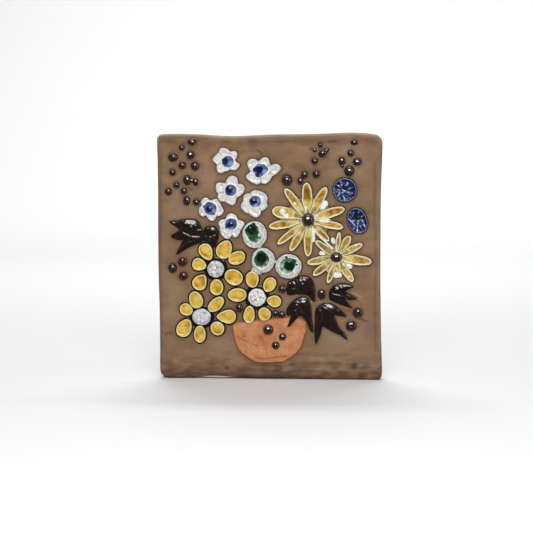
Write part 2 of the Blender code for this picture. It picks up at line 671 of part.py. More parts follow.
def make_star_flowers(petal_material, bead_material):
    for index, flower in enumerate(STAR_FLOWERS):
        x, z = place(flower["centre"])
        outline_at = partial(star, flower["petals"])
        mesh = rimmed(outline_at, STAR_HEIGHT, RIM_WIDTH, RIM_SLOPE, STAR_HOLLOW, STAR_HEIGHT - STAR_HOLLOW)
        add_object(f"star_flower_{index + 1}", mesh, petal_material, x, SEAT_Y, z)

        half_width, half_height = flower["bead"]
        bead = bmesh.new()
        stepped(bead, scaled(ellipse(half_width, half_height, BEAD_SIDES)), STAR_CENTRE_HEIGHT, BEAD_STEPS)
        y = SEAT_Y - (STAR_HEIGHT - STAR_HOLLOW) - SEAT_GAP
        add_object(f"star_centre_{index + 1}", bead, bead_material, x, y, z)


def make_daisies(petal_material, centre_material):
    lumps = random.Random(5)
    for number, daisy in enumerate(DAISIES):
        for index, (bearing, distance, *shape) in enumerate(daisy["petals"]):
            outline_at = partial(petal_outline, *shape)
            floor = DAISY_PETAL_HEIGHT - DAISY_HOLLOW
            mesh = rimmed(outline_at, DAISY_PETAL_HEIGHT, RIM_WIDTH, RIM_SLOPE, DAISY_HOLLOW, floor)
            x, z = petal_place(daisy, bearing, distance)
            add_object(f"daisy_{number + 1}_petal_{index + 1}", mesh, petal_material, x, SEAT_Y, z)

        half_width, half_height = daisy["eye"]
        centre = bmesh.new()
        outline = scaled(ellipse(half_width, half_height, PETAL_POINTS))
        stepped(centre, outline, DAISY_CENTRE_HEIGHT, CENTRE_STEPS)
        for corner in centre.verts:
            if corner.co.z > DAISY_CENTRE_HEIGHT / 2:
                corner.co.z -= lumps.uniform(0.0, DAISY_CENTRE_LUMPS) * DAISY_CENTRE_HEIGHT
        x, z = place(daisy["centre"])
        add_object(f"daisy_{number + 1}_centre", centre, centre_material, x, SEAT_Y, z)


def make_leaves(material):
    for name, leaf in LEAVES.items():
        mesh = bmesh.new()
        stepped(mesh, scaled(leaf["outline"], leaf["middle"]), LEAF_HEIGHT, LEAF_STEPS)
        x, z = place(leaf["middle"])
        add_object(name, mesh, material, x, SEAT_Y, z)


def main():
    clear_scene()
    stoneware = clay("brown_stoneware", (0.255, 0.165, 0.105), 0.85)
    terracotta = clay("terracotta", (0.53, 0.21, 0.09), 0.85)
    white_glaze = clay("crackled_white_glaze", (0.72, 0.69, 0.64), 0.25)
    green_glaze = clay("green_pool_glaze", (0.10, 0.30, 0.15), 0.15)
    blue_glaze = clay("navy_pool_glaze", (0.02, 0.04, 0.20), 0.15)
    star_glaze = clay("amber_star_glaze", (0.58, 0.36, 0.07), 0.22)
    petal_glaze = clay("golden_petal_glaze", (0.69, 0.40, 0.06), 0.20)
    centre_glaze = clay("white_centre_glaze", (0.70, 0.68, 0.66), 0.30)
    leaf_glaze = clay("black_brown_leaf_glaze", (0.022, 0.013, 0.009), 0.20)
    bead_glaze = clay("dark_brown_bead_glaze", (0.025, 0.010, 0.007), 0.15)

    make_slab(stoneware)
    make_pot(terracotta)
    make_white_flowers(white_glaze)
    make_blossoms("green_blossom", GREEN_BLOSSOMS, GREEN_BLOSSOM_HEIGHT, green_glaze)
    make_blossoms("blue_blossom", BLUE_BLOSSOMS, BLUE_BLOSSOM_HEIGHT, blue_glaze)
    make_star_flowers(star_glaze, bead_glaze)
    make_daisies(petal_glaze, centre_glaze)
    make_leaves(leaf_glaze)
    make_lower_beads(bead_glaze)
    make_pot_beads(bead_glaze)


main()
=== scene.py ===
# Ceramic wall plaque: a slab of brown stoneware with a terracotta pot of glazed flowers in relief.
# The dictionaries hold millimetres, seen from the front: x to the right and z up from the middle.

import math
from types import SimpleNamespace

import bmesh
import bpy
import numpy as np
from mathutils import Matrix, Vector, noise
from mathutils.geometry import convex_hull_2d


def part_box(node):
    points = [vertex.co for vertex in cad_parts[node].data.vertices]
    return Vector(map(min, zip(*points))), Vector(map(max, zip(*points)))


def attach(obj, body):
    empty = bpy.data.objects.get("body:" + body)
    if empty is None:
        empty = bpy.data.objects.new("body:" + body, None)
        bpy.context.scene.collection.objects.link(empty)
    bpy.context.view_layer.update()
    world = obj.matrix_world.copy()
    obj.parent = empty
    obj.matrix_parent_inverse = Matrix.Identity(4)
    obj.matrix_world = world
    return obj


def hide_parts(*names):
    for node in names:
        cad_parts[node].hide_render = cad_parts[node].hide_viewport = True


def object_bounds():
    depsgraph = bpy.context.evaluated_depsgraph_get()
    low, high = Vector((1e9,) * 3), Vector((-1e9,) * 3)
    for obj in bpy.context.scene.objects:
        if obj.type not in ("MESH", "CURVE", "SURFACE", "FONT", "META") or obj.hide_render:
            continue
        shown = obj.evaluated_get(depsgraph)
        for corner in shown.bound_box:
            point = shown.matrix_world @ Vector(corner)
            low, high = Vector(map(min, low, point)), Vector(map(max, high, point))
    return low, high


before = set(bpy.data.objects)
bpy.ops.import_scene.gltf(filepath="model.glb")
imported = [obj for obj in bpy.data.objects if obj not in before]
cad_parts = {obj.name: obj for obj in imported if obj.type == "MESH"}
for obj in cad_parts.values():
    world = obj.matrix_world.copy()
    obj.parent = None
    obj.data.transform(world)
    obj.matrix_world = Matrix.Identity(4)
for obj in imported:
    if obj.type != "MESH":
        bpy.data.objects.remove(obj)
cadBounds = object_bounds()
mm = 0.001
weld = 2e-6  # metres: CAD points this close are one
flatWithin = 3e-5  # metres: points this close to a plane lie on it
tiny = 1e-6
betweenPoints = 0.37  # noise is zero at whole numbers, so its layers lie between them
seatGap = 0.3  # the CAD solids keep this much air to the slab
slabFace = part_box("flowerpot")[1].y / mm + seatGap  # the slab's face, on the y axis
print("frame loaded, slab face at", round(slabFace, 2), "mm")


def toLinear(text):
    # sRGB hex to the linear colour that Blender mixes in
    parts = [int(text[i:i + 2], 16) / 255 for i in (1, 3, 5)]
    return [p / 12.92 if p <= 0.04045 else ((p + 0.055) / 1.055) ** 2.4 for p in parts] + [1.0]


def addNode(tree, kind, inputs=None, stops=None, out=0, **settings):
    # adds a node, sets its fields, fills or links its sockets, and gives back one of its outputs
    made = tree.nodes.new("ShaderNode" + kind)
    for key, value in settings.items():
        setattr(made, key, value)
    for key, value in (inputs or {}).items():
        if isinstance(value, bpy.types.NodeSocket):
            tree.links.new(value, made.inputs[key])
        else:
            made.inputs[key].default_value = value
    if stops:
        ramp = made.color_ramp
        ramp.elements.remove(ramp.elements[-1])
        ramp.elements[0].position, ramp.elements[0].color = stops[0][0], toLinear(stops[0][1])
        for position, colour in stops[1:]:
            ramp.elements.new(position).color = toLinear(colour)
    return made.outputs[out]


def newMaterial(name, look):
    # its tree and shader, where a point is, what its mesh says of it, and its noise patterns, which
    # the look gives as size, detail and roughness
    material = bpy.data.materials.new(name)
    material.use_nodes = True
    tree = material.node_tree
    shader = tree.nodes["Principled BSDF"]
    shader.inputs["Roughness"].default_value = look["roughness"]
    shader.inputs["IOR"].default_value = look["ior"]
    if "specular" in look:
        shader.inputs["Specular IOR Level"].default_value = look["specular"]
    place = addNode(tree, "TexCoord", out="Object")
    edge, tone = (addNode(tree, "Attribute", out="Fac", attribute_name=field) for field in ("edge", "tone"))
    melt = addNode(tree, "SeparateXYZ", {0: addNode(tree, "Attribute", out="Vector", attribute_name="melt")})
    parts = SimpleNamespace(material=material, tree=tree, shader=shader, place=place, edge=edge, tone=tone,
                            melt=melt.node.outputs)
    for pattern, (size, detail, roughness) in look.get("patterns", {}).items():
        made = addNode(tree, "TexNoise", {"Vector": place, "Scale": 1 / (size * mm), "Detail": detail,
                                          "Roughness": roughness})
        setattr(parts, pattern, made)
    return parts


def layCoats(parts, look, colour, coats):
    # each coat covers the last by its share, which may also be a band along the outline: full out to
    # the first distance, gone at the second, and how strong it is
    for share, coat in coats:
        if isinstance(share, tuple):
            full, gone, most = share
            share = addNode(parts.tree, "MapRange", {"Value": parts.edge, "From Min": full, "From Max": gone,
                                                     "To Min": most, "To Max": 0.0})
        colour = addNode(parts.tree, "Mix", {0: share, 6: colour, 7: toLinear(look[coat])}, out=2,
                         data_type="RGBA")
    return colour


def finishMaterial(parts, look, colour, relief):
    strength, depth = look["bump"]
    bump = addNode(parts.tree, "Bump", {"Strength": strength, "Distance": depth * mm, "Height": relief})
    parts.tree.links.new(colour, parts.shader.inputs["Base Color"])
    parts.tree.links.new(bump, parts.shader.inputs["Normal"])
    return parts.material


def ease(low, high, value):
    share = np.clip((value - low) / (high - low), 0, 1)
    return share * share * (3 - 2 * share)


def roundOver(edge, width):
    # 0 at the edge, rising like a quarter circle to 1
    share = np.clip(edge / width, 0, 1)
    return np.sqrt(1 - (1 - share) ** 2)


def wall(edge, foot, width):
    # share of a piece's height: it starts with the foot's share and rounds over within this width
    return foot + (1 - foot) * roundOver(edge, width)


def lumps(x, z, size, seed):
    # smooth noise from about -1 to 1, with lumps of this size
    layer = seed + betweenPoints
    return np.array([noise.noise(Vector((a / size, b / size, layer))) for a, b in zip(x, z)])


def waves(x, z, rows, seed=0):
    # noise of several sizes at once, from rows of height, size and seed
    return sum(height * lumps(x, z, size, own + seed) for height, size, own in rows)


def cells(x, z, size, seed, seam=0.6, dome=0.85):
    # a stippled surface: 0 on the lines between its pebbles up to 1 inside them, and their domes
    layer = seed + betweenPoints
    found = [noise.voronoi(Vector((a / size, b / size, layer)))[0][:2] for a, b in zip(x, z)]
    close, far = np.array(found).T
    return np.clip((far - close) / seam, 0, 1), np.sqrt(np.clip(1 - (close / dome) ** 2, 0, 1))


def distanceTo(points, line, closed=True):
    line = np.array(line, float)
    ends = np.roll(line, -1, 0) if closed else line[1:]
    best = np.full(len(points), np.inf)
    for start, end in zip(line, ends):
        run = end - start
        away = points - start
        along = np.clip(away @ run / max(run @ run, tiny), 0, 1)
        best = np.minimum(best, np.hypot(*(away - along[:, None] * run).T))
    return best


def nearLine(points, line, width):
    # 1 on an open line of points, fading to 0 over about this width
    return np.exp(-(distanceTo(points, line, closed=False) / width) ** 2)


def patch(points, x, z, size, soft=0.8):
    # 1 inside a round or oval patch, 0 outside it, with a soft rim; size is a radius or two
    size = np.broadcast_to(np.array(size, float), 2)
    away = np.hypot(*((points - (x, z)) / size).T)
    return ease(1 + soft / size.min(), 1 - soft / size.min(), away)


def strongest(points, marks):
    # the strongest of these marks at each point
    return np.maximum.reduce([np.zeros(len(points)), *marks])


def isInside(points, loop):
    inside = np.zeros(len(points), bool)
    for (x1, z1), (x2, z2) in zip(loop, np.roll(loop, -1, 0)):
        if z1 != z2:
            crosses = (z1 > points[:, 1]) != (z2 > points[:, 1])
            inside ^= crosses & (points[:, 0] < x1 + (points[:, 1] - z1) * (x2 - x1) / (z2 - z1))
    return inside


def turnsLeft(loop):
    # the loop in the order that keeps its inside on the left
    after = np.roll(loop, -1, 0)
    return loop if np.sum(loop[:, 0] * after[:, 1] - after[:, 0] * loop[:, 1]) > 0 else loop[::-1]


def walkLoops(edges):
    # the closed loops that these edges make, each an ordered list of vertices
    beside = {}
    for edge in edges:
        for vert, other in (edge.verts, reversed(edge.verts)):
            beside.setdefault(vert, []).append(other)
    loops = []
    while beside:
        vert = next(iter(beside))
        loop = []
        while vert is not None:
            loop.append(vert)
            around = beside.pop(vert)
            vert = next((other for other in around if other in beside), None)
        loops.append(loop)
    return sorted(loops, key=len, reverse=True)


def cadCopy(node):
    # a copy of a CAD mesh with its loose triangles merged
    bm = bmesh.new()
    bm.from_mesh(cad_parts[node].data)
    bmesh.ops.remove_doubles(bm, verts=bm.verts, dist=weld)
    return bm


def cadLoops(node, depth=None):
    # the outlines that a CAD solid shows at this depth, or at its foot
    bm = cadCopy(node)
    depth = max(v.co.y for v in bm.verts) if depth is None else depth * mm
    flat = {v for v in bm.verts if abs(v.co.y - depth) < flatWithin}
    rims = [
        e for e in bm.edges
        if flat.issuperset(e.verts) and not all(flat.issuperset(f.verts) for f in e.link_faces)
    ]
    loops = [turnsLeft(np.array([(v.co.x / mm, v.co.z / mm) for v in loop])) for loop in walkLoops(rims)]
    bm.free()
    return loops


def evenSteps(loop, spacing, fewest=12):
    closed = np.vstack([loop, loop[:1]])
    length = np.concatenate([[0], np.cumsum(np.hypot(*np.diff(closed, axis=0).T))])
    spots = np.linspace(0, length[-1], max(fewest, round(length[-1] / spacing)), endpoint=False)
    return np.column_stack([np.interp(spots, length, closed[:, k]) for k in (0, 1)])


def smoothLoop(points, spacing, between=12):
    # a smooth closed curve through the points, cut into even steps
    dense = []
    count = len(points)
    for i in range(count):
        p = [points[(i + k) % count] for k in (-1, 0, 1, 2)]
        t = [0.0]
        for a, b in zip(p, p[1:]):
            t.append(t[-1] + math.sqrt(max(np.hypot(*(b - a)), tiny)))
        for u in np.linspace(t[1], t[2], between, endpoint=False):
            a = [((t[k + 1] - u) * p[k] + (u - t[k]) * p[k + 1]) / (t[k + 1] - t[k]) for k in range(3)]
            b = [((t[k + 2] - u) * a[k] + (u - t[k]) * a[k + 1]) / (t[k + 2] - t[k]) for k in range(2)]
            dense.append(((t[2] - u) * b[0] + (u - t[1]) * b[1]) / (t[2] - t[1]))
    return evenSteps(np.array(dense), spacing)


def growLoop(loop, amount, sharpest=0.4):
    # the outline moved outwards, a sharp corner no further than its sharpness allows
    ahead = np.roll(loop, -1, 0) - loop
    tangent = ahead / np.maximum(np.hypot(*ahead.T), tiny)[:, None]
    tangent = tangent + np.roll(tangent, 1, 0)
    tangent /= np.maximum(np.hypot(*tangent.T), sharpest)[:, None]
    amount = np.broadcast_to(amount, len(loop))[:, None]
    return loop + amount * np.column_stack([tangent[:, 1], -tangent[:, 0]])


def roughen(loop, amount, size, seed, grow=0.0):
    # the outline as a hand left it, in and out by this amount
    return growLoop(loop, amount * lumps(*loop.T, size, seed) + grow)


def drop(start, end, radius, capSteps=10, spacing=0.6):
    # the outline of a drop of glaze that ran from one spot to another
    start, end = np.array(start, float), np.array(end, float)
    lean = math.atan2(*(end - start)[::-1])
    turns = np.linspace(-math.pi / 2, math.pi / 2, capSteps)
    caps = [(end, turns + lean), (start, turns + lean + math.pi)]
    rounds = [middle + radius * np.column_stack([np.cos(a), np.sin(a)]) for middle, a in caps]
    return evenSteps(np.vstack(rounds), spacing)


def tipsAndNotches(loop, middle):
    # where the outline reaches furthest from the middle, and where it comes closest
    reach = np.hypot(*(loop - middle).T)
    before, after = np.roll(reach, 1), np.roll(reach, -1)
    return np.where((reach >= before) & (reach > after))[0], np.where((reach < before) & (reach <= after))[0]


def beside(marks, index):
    # the mark before and the mark after this one, going round the outline
    before = max((m for m in marks if m < index), default=marks[-1])
    return before, min((m for m in marks if m > index), default=marks[0])


def middleOf(node):
    low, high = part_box(node)
    return np.array([low.x + high.x, low.z + high.z]) / 2 / mm


def sizeOf(node):
    low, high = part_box(node)
    return np.array([high.x - low.x, high.z - low.z]) / mm


def newForm():
    # edge: mm in from the outline; tone and melt: how far each glaze went, and in places painted shade and
    # highlights, for the materials
    bm = bmesh.new()
    for name in ("edge", "tone"):
        bm.verts.layers.float.new(name)
    bm.verts.layers.float_vector.new("melt")
    return bm


def nextRow(bm, row, places):
    # the row of vertices is extruded by its edges, and the new row takes these places
    edges = [bm.edges.get((row[i - 1], row[i])) for i in range(len(row))]
    made = bmesh.ops.extrude_edge_only(bm, edges=edges)["geom"]
    fresh = {item for item in made if isinstance(item, bmesh.types.BMVert)}
    after = [next(e.other_vert(v) for e in v.link_edges if e.other_vert(v) in fresh) for v in row]
    for vert, place in zip(after, places):
        vert.co = place
    return after


def toScene(points, heights):
    # (x, z) and a height above the slab's face, in mm, to places in metres
    heights = np.broadcast_to(heights, len(points))
    return [Vector((x, slabFace - h, z)) * mm for (x, z), h in zip(points, heights)]


padLook = {
    "skirt": [(1.0, -0.9), (1.0, -0.1), (0.86, 0.34), (0.6, 0.62), (0.3, 0.74)],  # share of width, height
    "fullSkirt": 1.5,  # a skirt this wide is as high as these rows say
    "lowest": 0.3,  # the narrowest has this share of their height
    "wallRings": [0.0, 0.12, 0.3, 0.5, 0.75, 1.05, 1.4, 1.85, 2.4],  # in from the outline
    "closest": 0.45,  # share of the way to the spine that these rings leave
    "lastRing": 0.35,  # how many steps the innermost ring stays off the spine
}


def raisePad(bm, outline, spine, shape, skirt, inner, allFoot=False):
    # a pressed piece of clay: a skirt of glaze round its foot, partly a painted shadow line, its wall, and
    # rings that close in on the spine. shape(x, z, edge) gives its height above the slab, its tone and its
    # melt.
    look = padLook
    start, end = (np.array(p, float) for p in spine)
    run = end - start
    anchor = start + np.clip((outline - start) @ run / max(run @ run, tiny), 0, 1)[:, None] * run
    outward = outline - anchor
    reach = np.hypot(*outward.T)[:, None]
    shares = [np.maximum(1 - inset / reach, look["closest"]) for inset in look["wallRings"]]
    steps = inner + look["lastRing"]
    shares += [shares[-1] * (1 - i / steps) for i in range(1, inner + 1)]
    rings = [anchor + outward * share for share in shares]
    points = np.vstack(rings)
    edge = distanceTo(points, outline)
    edge[:len(outline)] = 0
    heights, tone, melt = shape(points[:, 0], points[:, 1], edge)
    tone = np.broadcast_to(tone, len(points))
    melt = np.zeros((len(points), 3)) if melt is None else melt
    edgeLayer, toneLayer = (bm.verts.layers.float[name] for name in ("edge", "tone"))
    meltLayer = bm.verts.layers.float_vector["melt"]
    if allFoot:
        edge = np.full(len(points), -skirt)

    low = min(1.0, look["lowest"] + (1 - look["lowest"]) * skirt / look["fullSkirt"])
    row = bmesh.ops.create_circle(bm, cap_ends=True, segments=len(outline), radius=1)["verts"]
    for index, (share, height) in enumerate(look["skirt"]):
        places = toScene(growLoop(outline, skirt * share), height * (low if height > 0 else 1))
        if index:
            row = nextRow(bm, row, places)
        for vert, place in zip(row, places):
            vert.co = place
            vert[edgeLayer] = -skirt * share
    count = len(outline)
    for index, ring in enumerate(rings):
        part = slice(index * count, (index + 1) * count)
        row = nextRow(bm, row, toScene(ring, heights[part]))
        for vert, e, t, m in zip(row, edge[part], tone[part], melt[part]):
            vert[edgeLayer], vert[toneLayer], vert[meltLayer] = e, t, Vector(m)
    bmesh.ops.triangulate(bm, faces=[bm.faces.new(row)], quad_method="BEAUTY", ngon_method="BEAUTY")


dropLook = {
    "rough": (0.35, 2.5),  # how far its outline wanders, and over what length
    "foot": 0.3,
    "shoulder": 0.9,  # how wide it rounds over, as a share of its radius
    "lump": 0.15,
    "skirt": 0.4,
}


def addDrop(bm, start, end, radius, height, tone, seed):
    look = dropLook
    amount, size = look["rough"]
    outline = roughen(drop(start, end, radius), amount, size, seed)

    def shape(x, z, edge):
        rise = height * wall(edge, look["foot"], look["shoulder"] * radius)
        return rise + look["lump"] * lumps(x, z, size, seed), tone, None

    raisePad(bm, outline, (start, end), shape, look["skirt"], inner=4)


def glints(points, spots, height=0.55):
    # small runs of thick glaze that catch the light: x, z and radius of each
    return strongest(points, [height * np.exp(-(np.hypot(*(points - (x, z)).T) / radius) ** 2)
                              for x, z, radius in spots])


def addPiece(name, bm, material, nodes=()):
    bmesh.ops.recalc_face_normals(bm, faces=bm.faces)
    data = bpy.data.meshes.new(name)
    bm.to_mesh(data)
    bm.free()
    data.shade_smooth()
    data.materials.append(material)
    piece = bpy.data.objects.new(name, data)
    bpy.context.scene.collection.objects.link(piece)
    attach(piece, "root")
    if nodes:
        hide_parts(*nodes)


def makeStoneware(look):
    # unglazed stoneware, patted by hand: dull, mottled from brown to mauve, paler along its lip, with a
    # painted highlight on its top edge
    parts = newMaterial("unglazedStoneware", look)
    tree = parts.tree
    colour = addNode(tree, "ValToRGB", {"Fac": parts.cloud}, stops=look["clay"])
    # the strokes of the hand lie across, so this pattern is stretched along x
    smeared = addNode(tree, "Mapping", {"Vector": parts.place, "Scale": (look["smearShrink"], 1.0, 1.0)})
    size, detail, roughness = look["smearPattern"]
    smear = addNode(tree, "TexNoise", {"Vector": smeared, "Scale": 1 / (size * mm), "Detail": detail,
                                       "Roughness": roughness})
    for pattern, name in ((smear, "smear"), (parts.grain, "grain")):
        ramp = addNode(tree, "ValToRGB", {"Fac": pattern}, stops=look[name])
        colour = addNode(tree, "Mix", {0: look[name + "Share"], 6: colour, 7: ramp}, out=2,
                         data_type="RGBA", blend_type="OVERLAY")
    # paler in patches and along the lip, where the top edge is a painted highlight; mauve in bands along the
    # sides and in patches; darker where iron bled out of the clay, and as painted shade round the pressed
    # pieces, along the bottom and in the gouges
    times, plus = look["broken"]
    broken = addNode(tree, "Math", {0: smear, 1: times, 2: plus}, operation="MULTIPLY_ADD")
    coats = [(addNode(tree, "Math", {0: share, 1: broken}, operation="MULTIPLY", use_clamp=True), coat)
             for share, coat in zip(parts.melt, ("pale", "mauve", "stainAndShade"))]
    rough = addNode(tree, "Math", {0: parts.grain, 1: smear}, operation="ADD")
    return finishMaterial(parts, look, layCoats(parts, look, colour, coats), rough)


def makeTerracotta(look):
    # low-fired red earthenware, rolled out and cut: dull orange with brown pits and mottling, and a darker
    # rim that is a painted shadow line
    parts = newMaterial("unglazedTerracotta", look)
    tree = parts.tree
    base = addNode(tree, "ValToRGB", {"Fac": parts.cloud}, stops=look["clay"])
    wander = addNode(tree, "Math", {0: parts.cloud, 1: -look["waver"], 2: parts.edge},
                     operation="MULTIPLY_ADD")
    full, gone, most = look["rimBand"]
    rim = addNode(tree, "MapRange", {"Value": wander, "From Min": full, "From Max": gone, "To Min": most,
                                     "To Max": 0.0})
    # the rim band is a painted shadow line along the edge and the skirt; the tone coat is brown mottling,
    # with painted shade in the crease, the scratches and under the crossing pieces
    toned = layCoats(parts, look, base, [(rim, "rim"), (parts.tone, "toned")])
    ramp = addNode(tree, "ValToRGB", {"Fac": parts.grain}, stops=look["grain"])
    grained = addNode(tree, "Mix", {0: look["grainShare"], 6: toned, 7: ramp}, out=2, data_type="RGBA",
                      blend_type="OVERLAY")
    return finishMaterial(parts, look, layCoats(parts, look, grained, [(parts.melt["X"], "pale")]),
                          parts.grain)


def makePooledGlaze(name, look):
    # tin-white glaze that crackled as it cooled, with a pool of metal oxide melted into its middle
    parts = newMaterial(name, look)
    tree, melt = parts.tree, parts.melt
    white = addNode(tree, "ValToRGB", {"Fac": parts.drift}, stops=look["white"])
    drift = parts.drift.node.outputs["Color"]
    bend = addNode(tree, "VectorMath", {0: drift, "Scale": look["bend"] * mm}, operation="SCALE")
    bent = addNode(tree, "VectorMath", {0: parts.place, 1: bend}, operation="ADD")
    # real crackle is finer than a pixel, so its net is drawn coarser here
    crack = addNode(tree, "TexVoronoi", {"Vector": bent, "Scale": 1 / (look["crackSize"] * mm)},
                    feature="DISTANCE_TO_EDGE")
    full, gone = look["crackBand"]
    line = addNode(tree, "MapRange", {"Value": crack, "From Min": full, "From Max": gone,
                                      "To Min": look["crackDepth"], "To Max": 0.0})
    calm = addNode(tree, "Math", {0: 1.0, 1: melt["Z"]}, operation="SUBTRACT")
    cracked = addNode(tree, "Math", {0: line, 1: calm}, operation="MULTIPLY", use_clamp=True)
    # the hollow grey that the tone lays is painted shade: in the creases, pleats and furrows, on the low
    # parts of the rough glaze and along the edge; the pits are darker too
    glaze = layCoats(parts, look, white, [(cracked, "crack"), (parts.tone, "hollow"), (melt["Z"], "ring")])
    # the pool's edge and its depth of colour both wander
    shift = addNode(tree, "Math", {0: parts.wander, 1: -0.5}, operation="ADD")
    cover = addNode(tree, "Math", {0: shift, 1: look["edgeWander"], 2: melt["X"]}, operation="MULTIPLY_ADD")
    low, high = look["poolEdge"]
    covered = addNode(tree, "MapRange", {"Value": cover, "From Min": low, "From Max": high},
                      interpolation_type="SMOOTHSTEP")
    depth = addNode(tree, "Math", {0: shift, 1: look["depthWander"], 2: melt["Y"]}, operation="MULTIPLY_ADD")
    oxide = addNode(tree, "ValToRGB", {"Fac": depth}, stops=look["pool"])
    pooled = addNode(tree, "Mix", {0: covered, 6: glaze, 7: oxide}, out=2, data_type="RGBA")
    # the crackled glaze is uneven, and the pool is as smooth as glass
    seam = addNode(tree, "MapRange", {"Value": crack, "From Min": 0.0, "From Max": look["seamWidth"]})
    dent = addNode(tree, "Math", {0: seam, 1: 0.5, 2: parts.drift}, operation="MULTIPLY_ADD")
    level = addNode(tree, "Mix", {0: covered, 2: dent, 3: look["poolLevel"]})
    return finishMaterial(parts, look, layCoats(parts, look, pooled, [(look["footBand"], "foot")]), level)


def makeRimmedGlaze(name, look):
    # honey glaze over cream slip: it drains off the rims, where the slip shows, and pools in the hollow
    parts = newMaterial(name, look)
    tree = parts.tree
    thick = addNode(tree, "Math", {0: parts.melt["X"], 1: -look["depth"], 2: parts.cloud},
                    operation="MULTIPLY_ADD")
    honey = addNode(tree, "ValToRGB", {"Fac": thick}, stops=look["honey"])
    inset = addNode(tree, "Math", {0: parts.cloud, 1: -look["waver"], 2: parts.edge},
                    operation="MULTIPLY_ADD")
    low, high = look["rim"]
    drained = addNode(tree, "MapRange", {"Value": inset, "From Min": low, "From Max": high, "To Min": 1.0,
                                         "To Max": 0.0}, interpolation_type="SMOOTHSTEP")
    times, plus = look["torn"]
    torn = addNode(tree, "Math", {0: parts.cloud, 1: times, 2: plus}, operation="MULTIPLY_ADD")
    white = addNode(tree, "Math", {0: torn, 1: parts.tone}, operation="ADD")
    low, high = look["patchEdge"]
    patched = addNode(tree, "MapRange", {"Value": white, "From Min": low, "From Max": high})
    # the groove brown is partly painted shade between the petals, and some white patches are painted
    # highlights
    coats = [(drained, "cream"), (parts.melt["Y"], "groove"), (patched, "patch"), (look["footBand"], "foot")]
    return finishMaterial(parts, look, layCoats(parts, look, honey, coats), parts.cloud)


def makeStreakedGlaze(name, look):
    # thick cobalt glass that broke into pale rays as it ran inwards
    parts = newMaterial(name, look)
    tree, melt = parts.tree, parts.melt
    angle = addNode(tree, "Math", {0: melt["Y"], 1: melt["X"]}, operation="ARCTAN2")
    sine, cosine = (addNode(tree, "Math", {0: angle}, operation=kind) for kind in ("SINE", "COSINE"))
    flat = addNode(tree, "CombineXYZ", {0: melt["X"], 1: melt["Y"]})
    away = addNode(tree, "VectorMath", {0: flat}, out=1, operation="LENGTH")
    slow = addNode(tree, "Math", {0: away, 1: look["rayStretch"]}, operation="MULTIPLY")
    fan = addNode(tree, "CombineXYZ", {0: cosine, 1: sine, 2: slow})
    count, detail, roughness = look["rays"]
    rays = addNode(tree, "TexNoise", {"Vector": fan, "Scale": count, "Detail": detail,
                                      "Roughness": roughness})
    both = addNode(tree, "Mix", {0: look["blotShare"], 2: rays, 3: parts.blots})
    run = addNode(tree, "Math", {0: parts.tone, 1: look["runs"], 2: both}, operation="MULTIPLY_ADD")
    glass = addNode(tree, "ValToRGB", {"Fac": run}, stops=look["glass"])
    waver = addNode(tree, "Math", {0: parts.blots, 1: -look["waver"], 2: parts.edge},
                    operation="MULTIPLY_ADD")
    start, full, still, gone = look["rimBand"]
    rimIn = addNode(tree, "MapRange", {"Value": waver, "From Min": start, "From Max": full})
    rimOut = addNode(tree, "MapRange", {"Value": waver, "From Min": still, "From Max": gone, "To Min": 1.0,
                                        "To Max": 0.0})
    rim = addNode(tree, "Math", {0: rimIn, 1: rimOut}, operation="MULTIPLY")
    coats = [(melt["Z"], "core"), (rim, "rimColour"), (look["footBand"], "foot")]
    return finishMaterial(parts, look, layCoats(parts, look, glass, coats), both)


def makeDarkGlaze(name, look):
    # iron-black glaze: near black where it is thick, breaking to rust where it is thin
    parts = newMaterial(name, look)
    body = addNode(parts.tree, "ValToRGB", {"Fac": parts.cloud}, stops=look["body"])
    coats = [(look["thinBand"], "thin"), (parts.tone, "toned")]
    return finishMaterial(parts, look, layCoats(parts, look, body, coats), parts.cloud)


def makeLumpGlaze(look):
    # white glaze over a stippled button of clay, with painted light and shade: bright on the tops of the
    # lumps, grey between them
    parts = newMaterial("stippledWhiteGlaze", look)
    tree = parts.tree
    shift = addNode(tree, "Math", {0: parts.speck, 1: -0.5}, operation="ADD")
    depth = addNode(tree, "Math", {0: shift, 1: look["speckShare"], 2: parts.tone}, operation="MULTIPLY_ADD")
    white = addNode(tree, "ValToRGB", {"Fac": depth}, stops=look["white"])
    tinted = addNode(tree, "Mix", {0: parts.melt["X"], 6: white, 7: toLinear(look["tint"])}, out=2,
                     data_type="RGBA", blend_type="MULTIPLY")
    return finishMaterial(parts, look, layCoats(parts, look, tinted, [(look["footBand"], "foot")]),
                          parts.speck)


# every pressed piece, with the width of the line round its foot: partly dark glaze, partly painted shadow
daisyNodes = [[f"daisy_{d}_petal_{p}" for p in range(1, count + 1)] for d, count in ((1, 7), (2, 7), (3, 6))]
leafNodes = ["left_leaf_outer", "left_leaf_inner"] + [f"right_leaf_{i}" for i in range(1, 5)]
skirts = {name: 1.7 for name in sum(daisyNodes, [])}
skirts |= {name: 0.6 for name in leafNodes}
skirts |= {f"white_flower_{i}": 0.75 for i in range(1, 7)}
skirts |= {f"green_blossom_{i}": 0.85 for i in range(1, 4)}
skirts |= {f"blue_blossom_{i}": 0.7 for i in range(1, 3)}
skirts |= {f"star_flower_{i}": 0.9 for i in range(1, 3)}
skirts |= {f"daisy_{i}_centre": 2.4 for i in range(1, 4)}
skirts["flowerpot"] = 0.35
outlines = {name: cadLoops(name)[0] for name in skirts}
print("outlines read:", len(outlines))

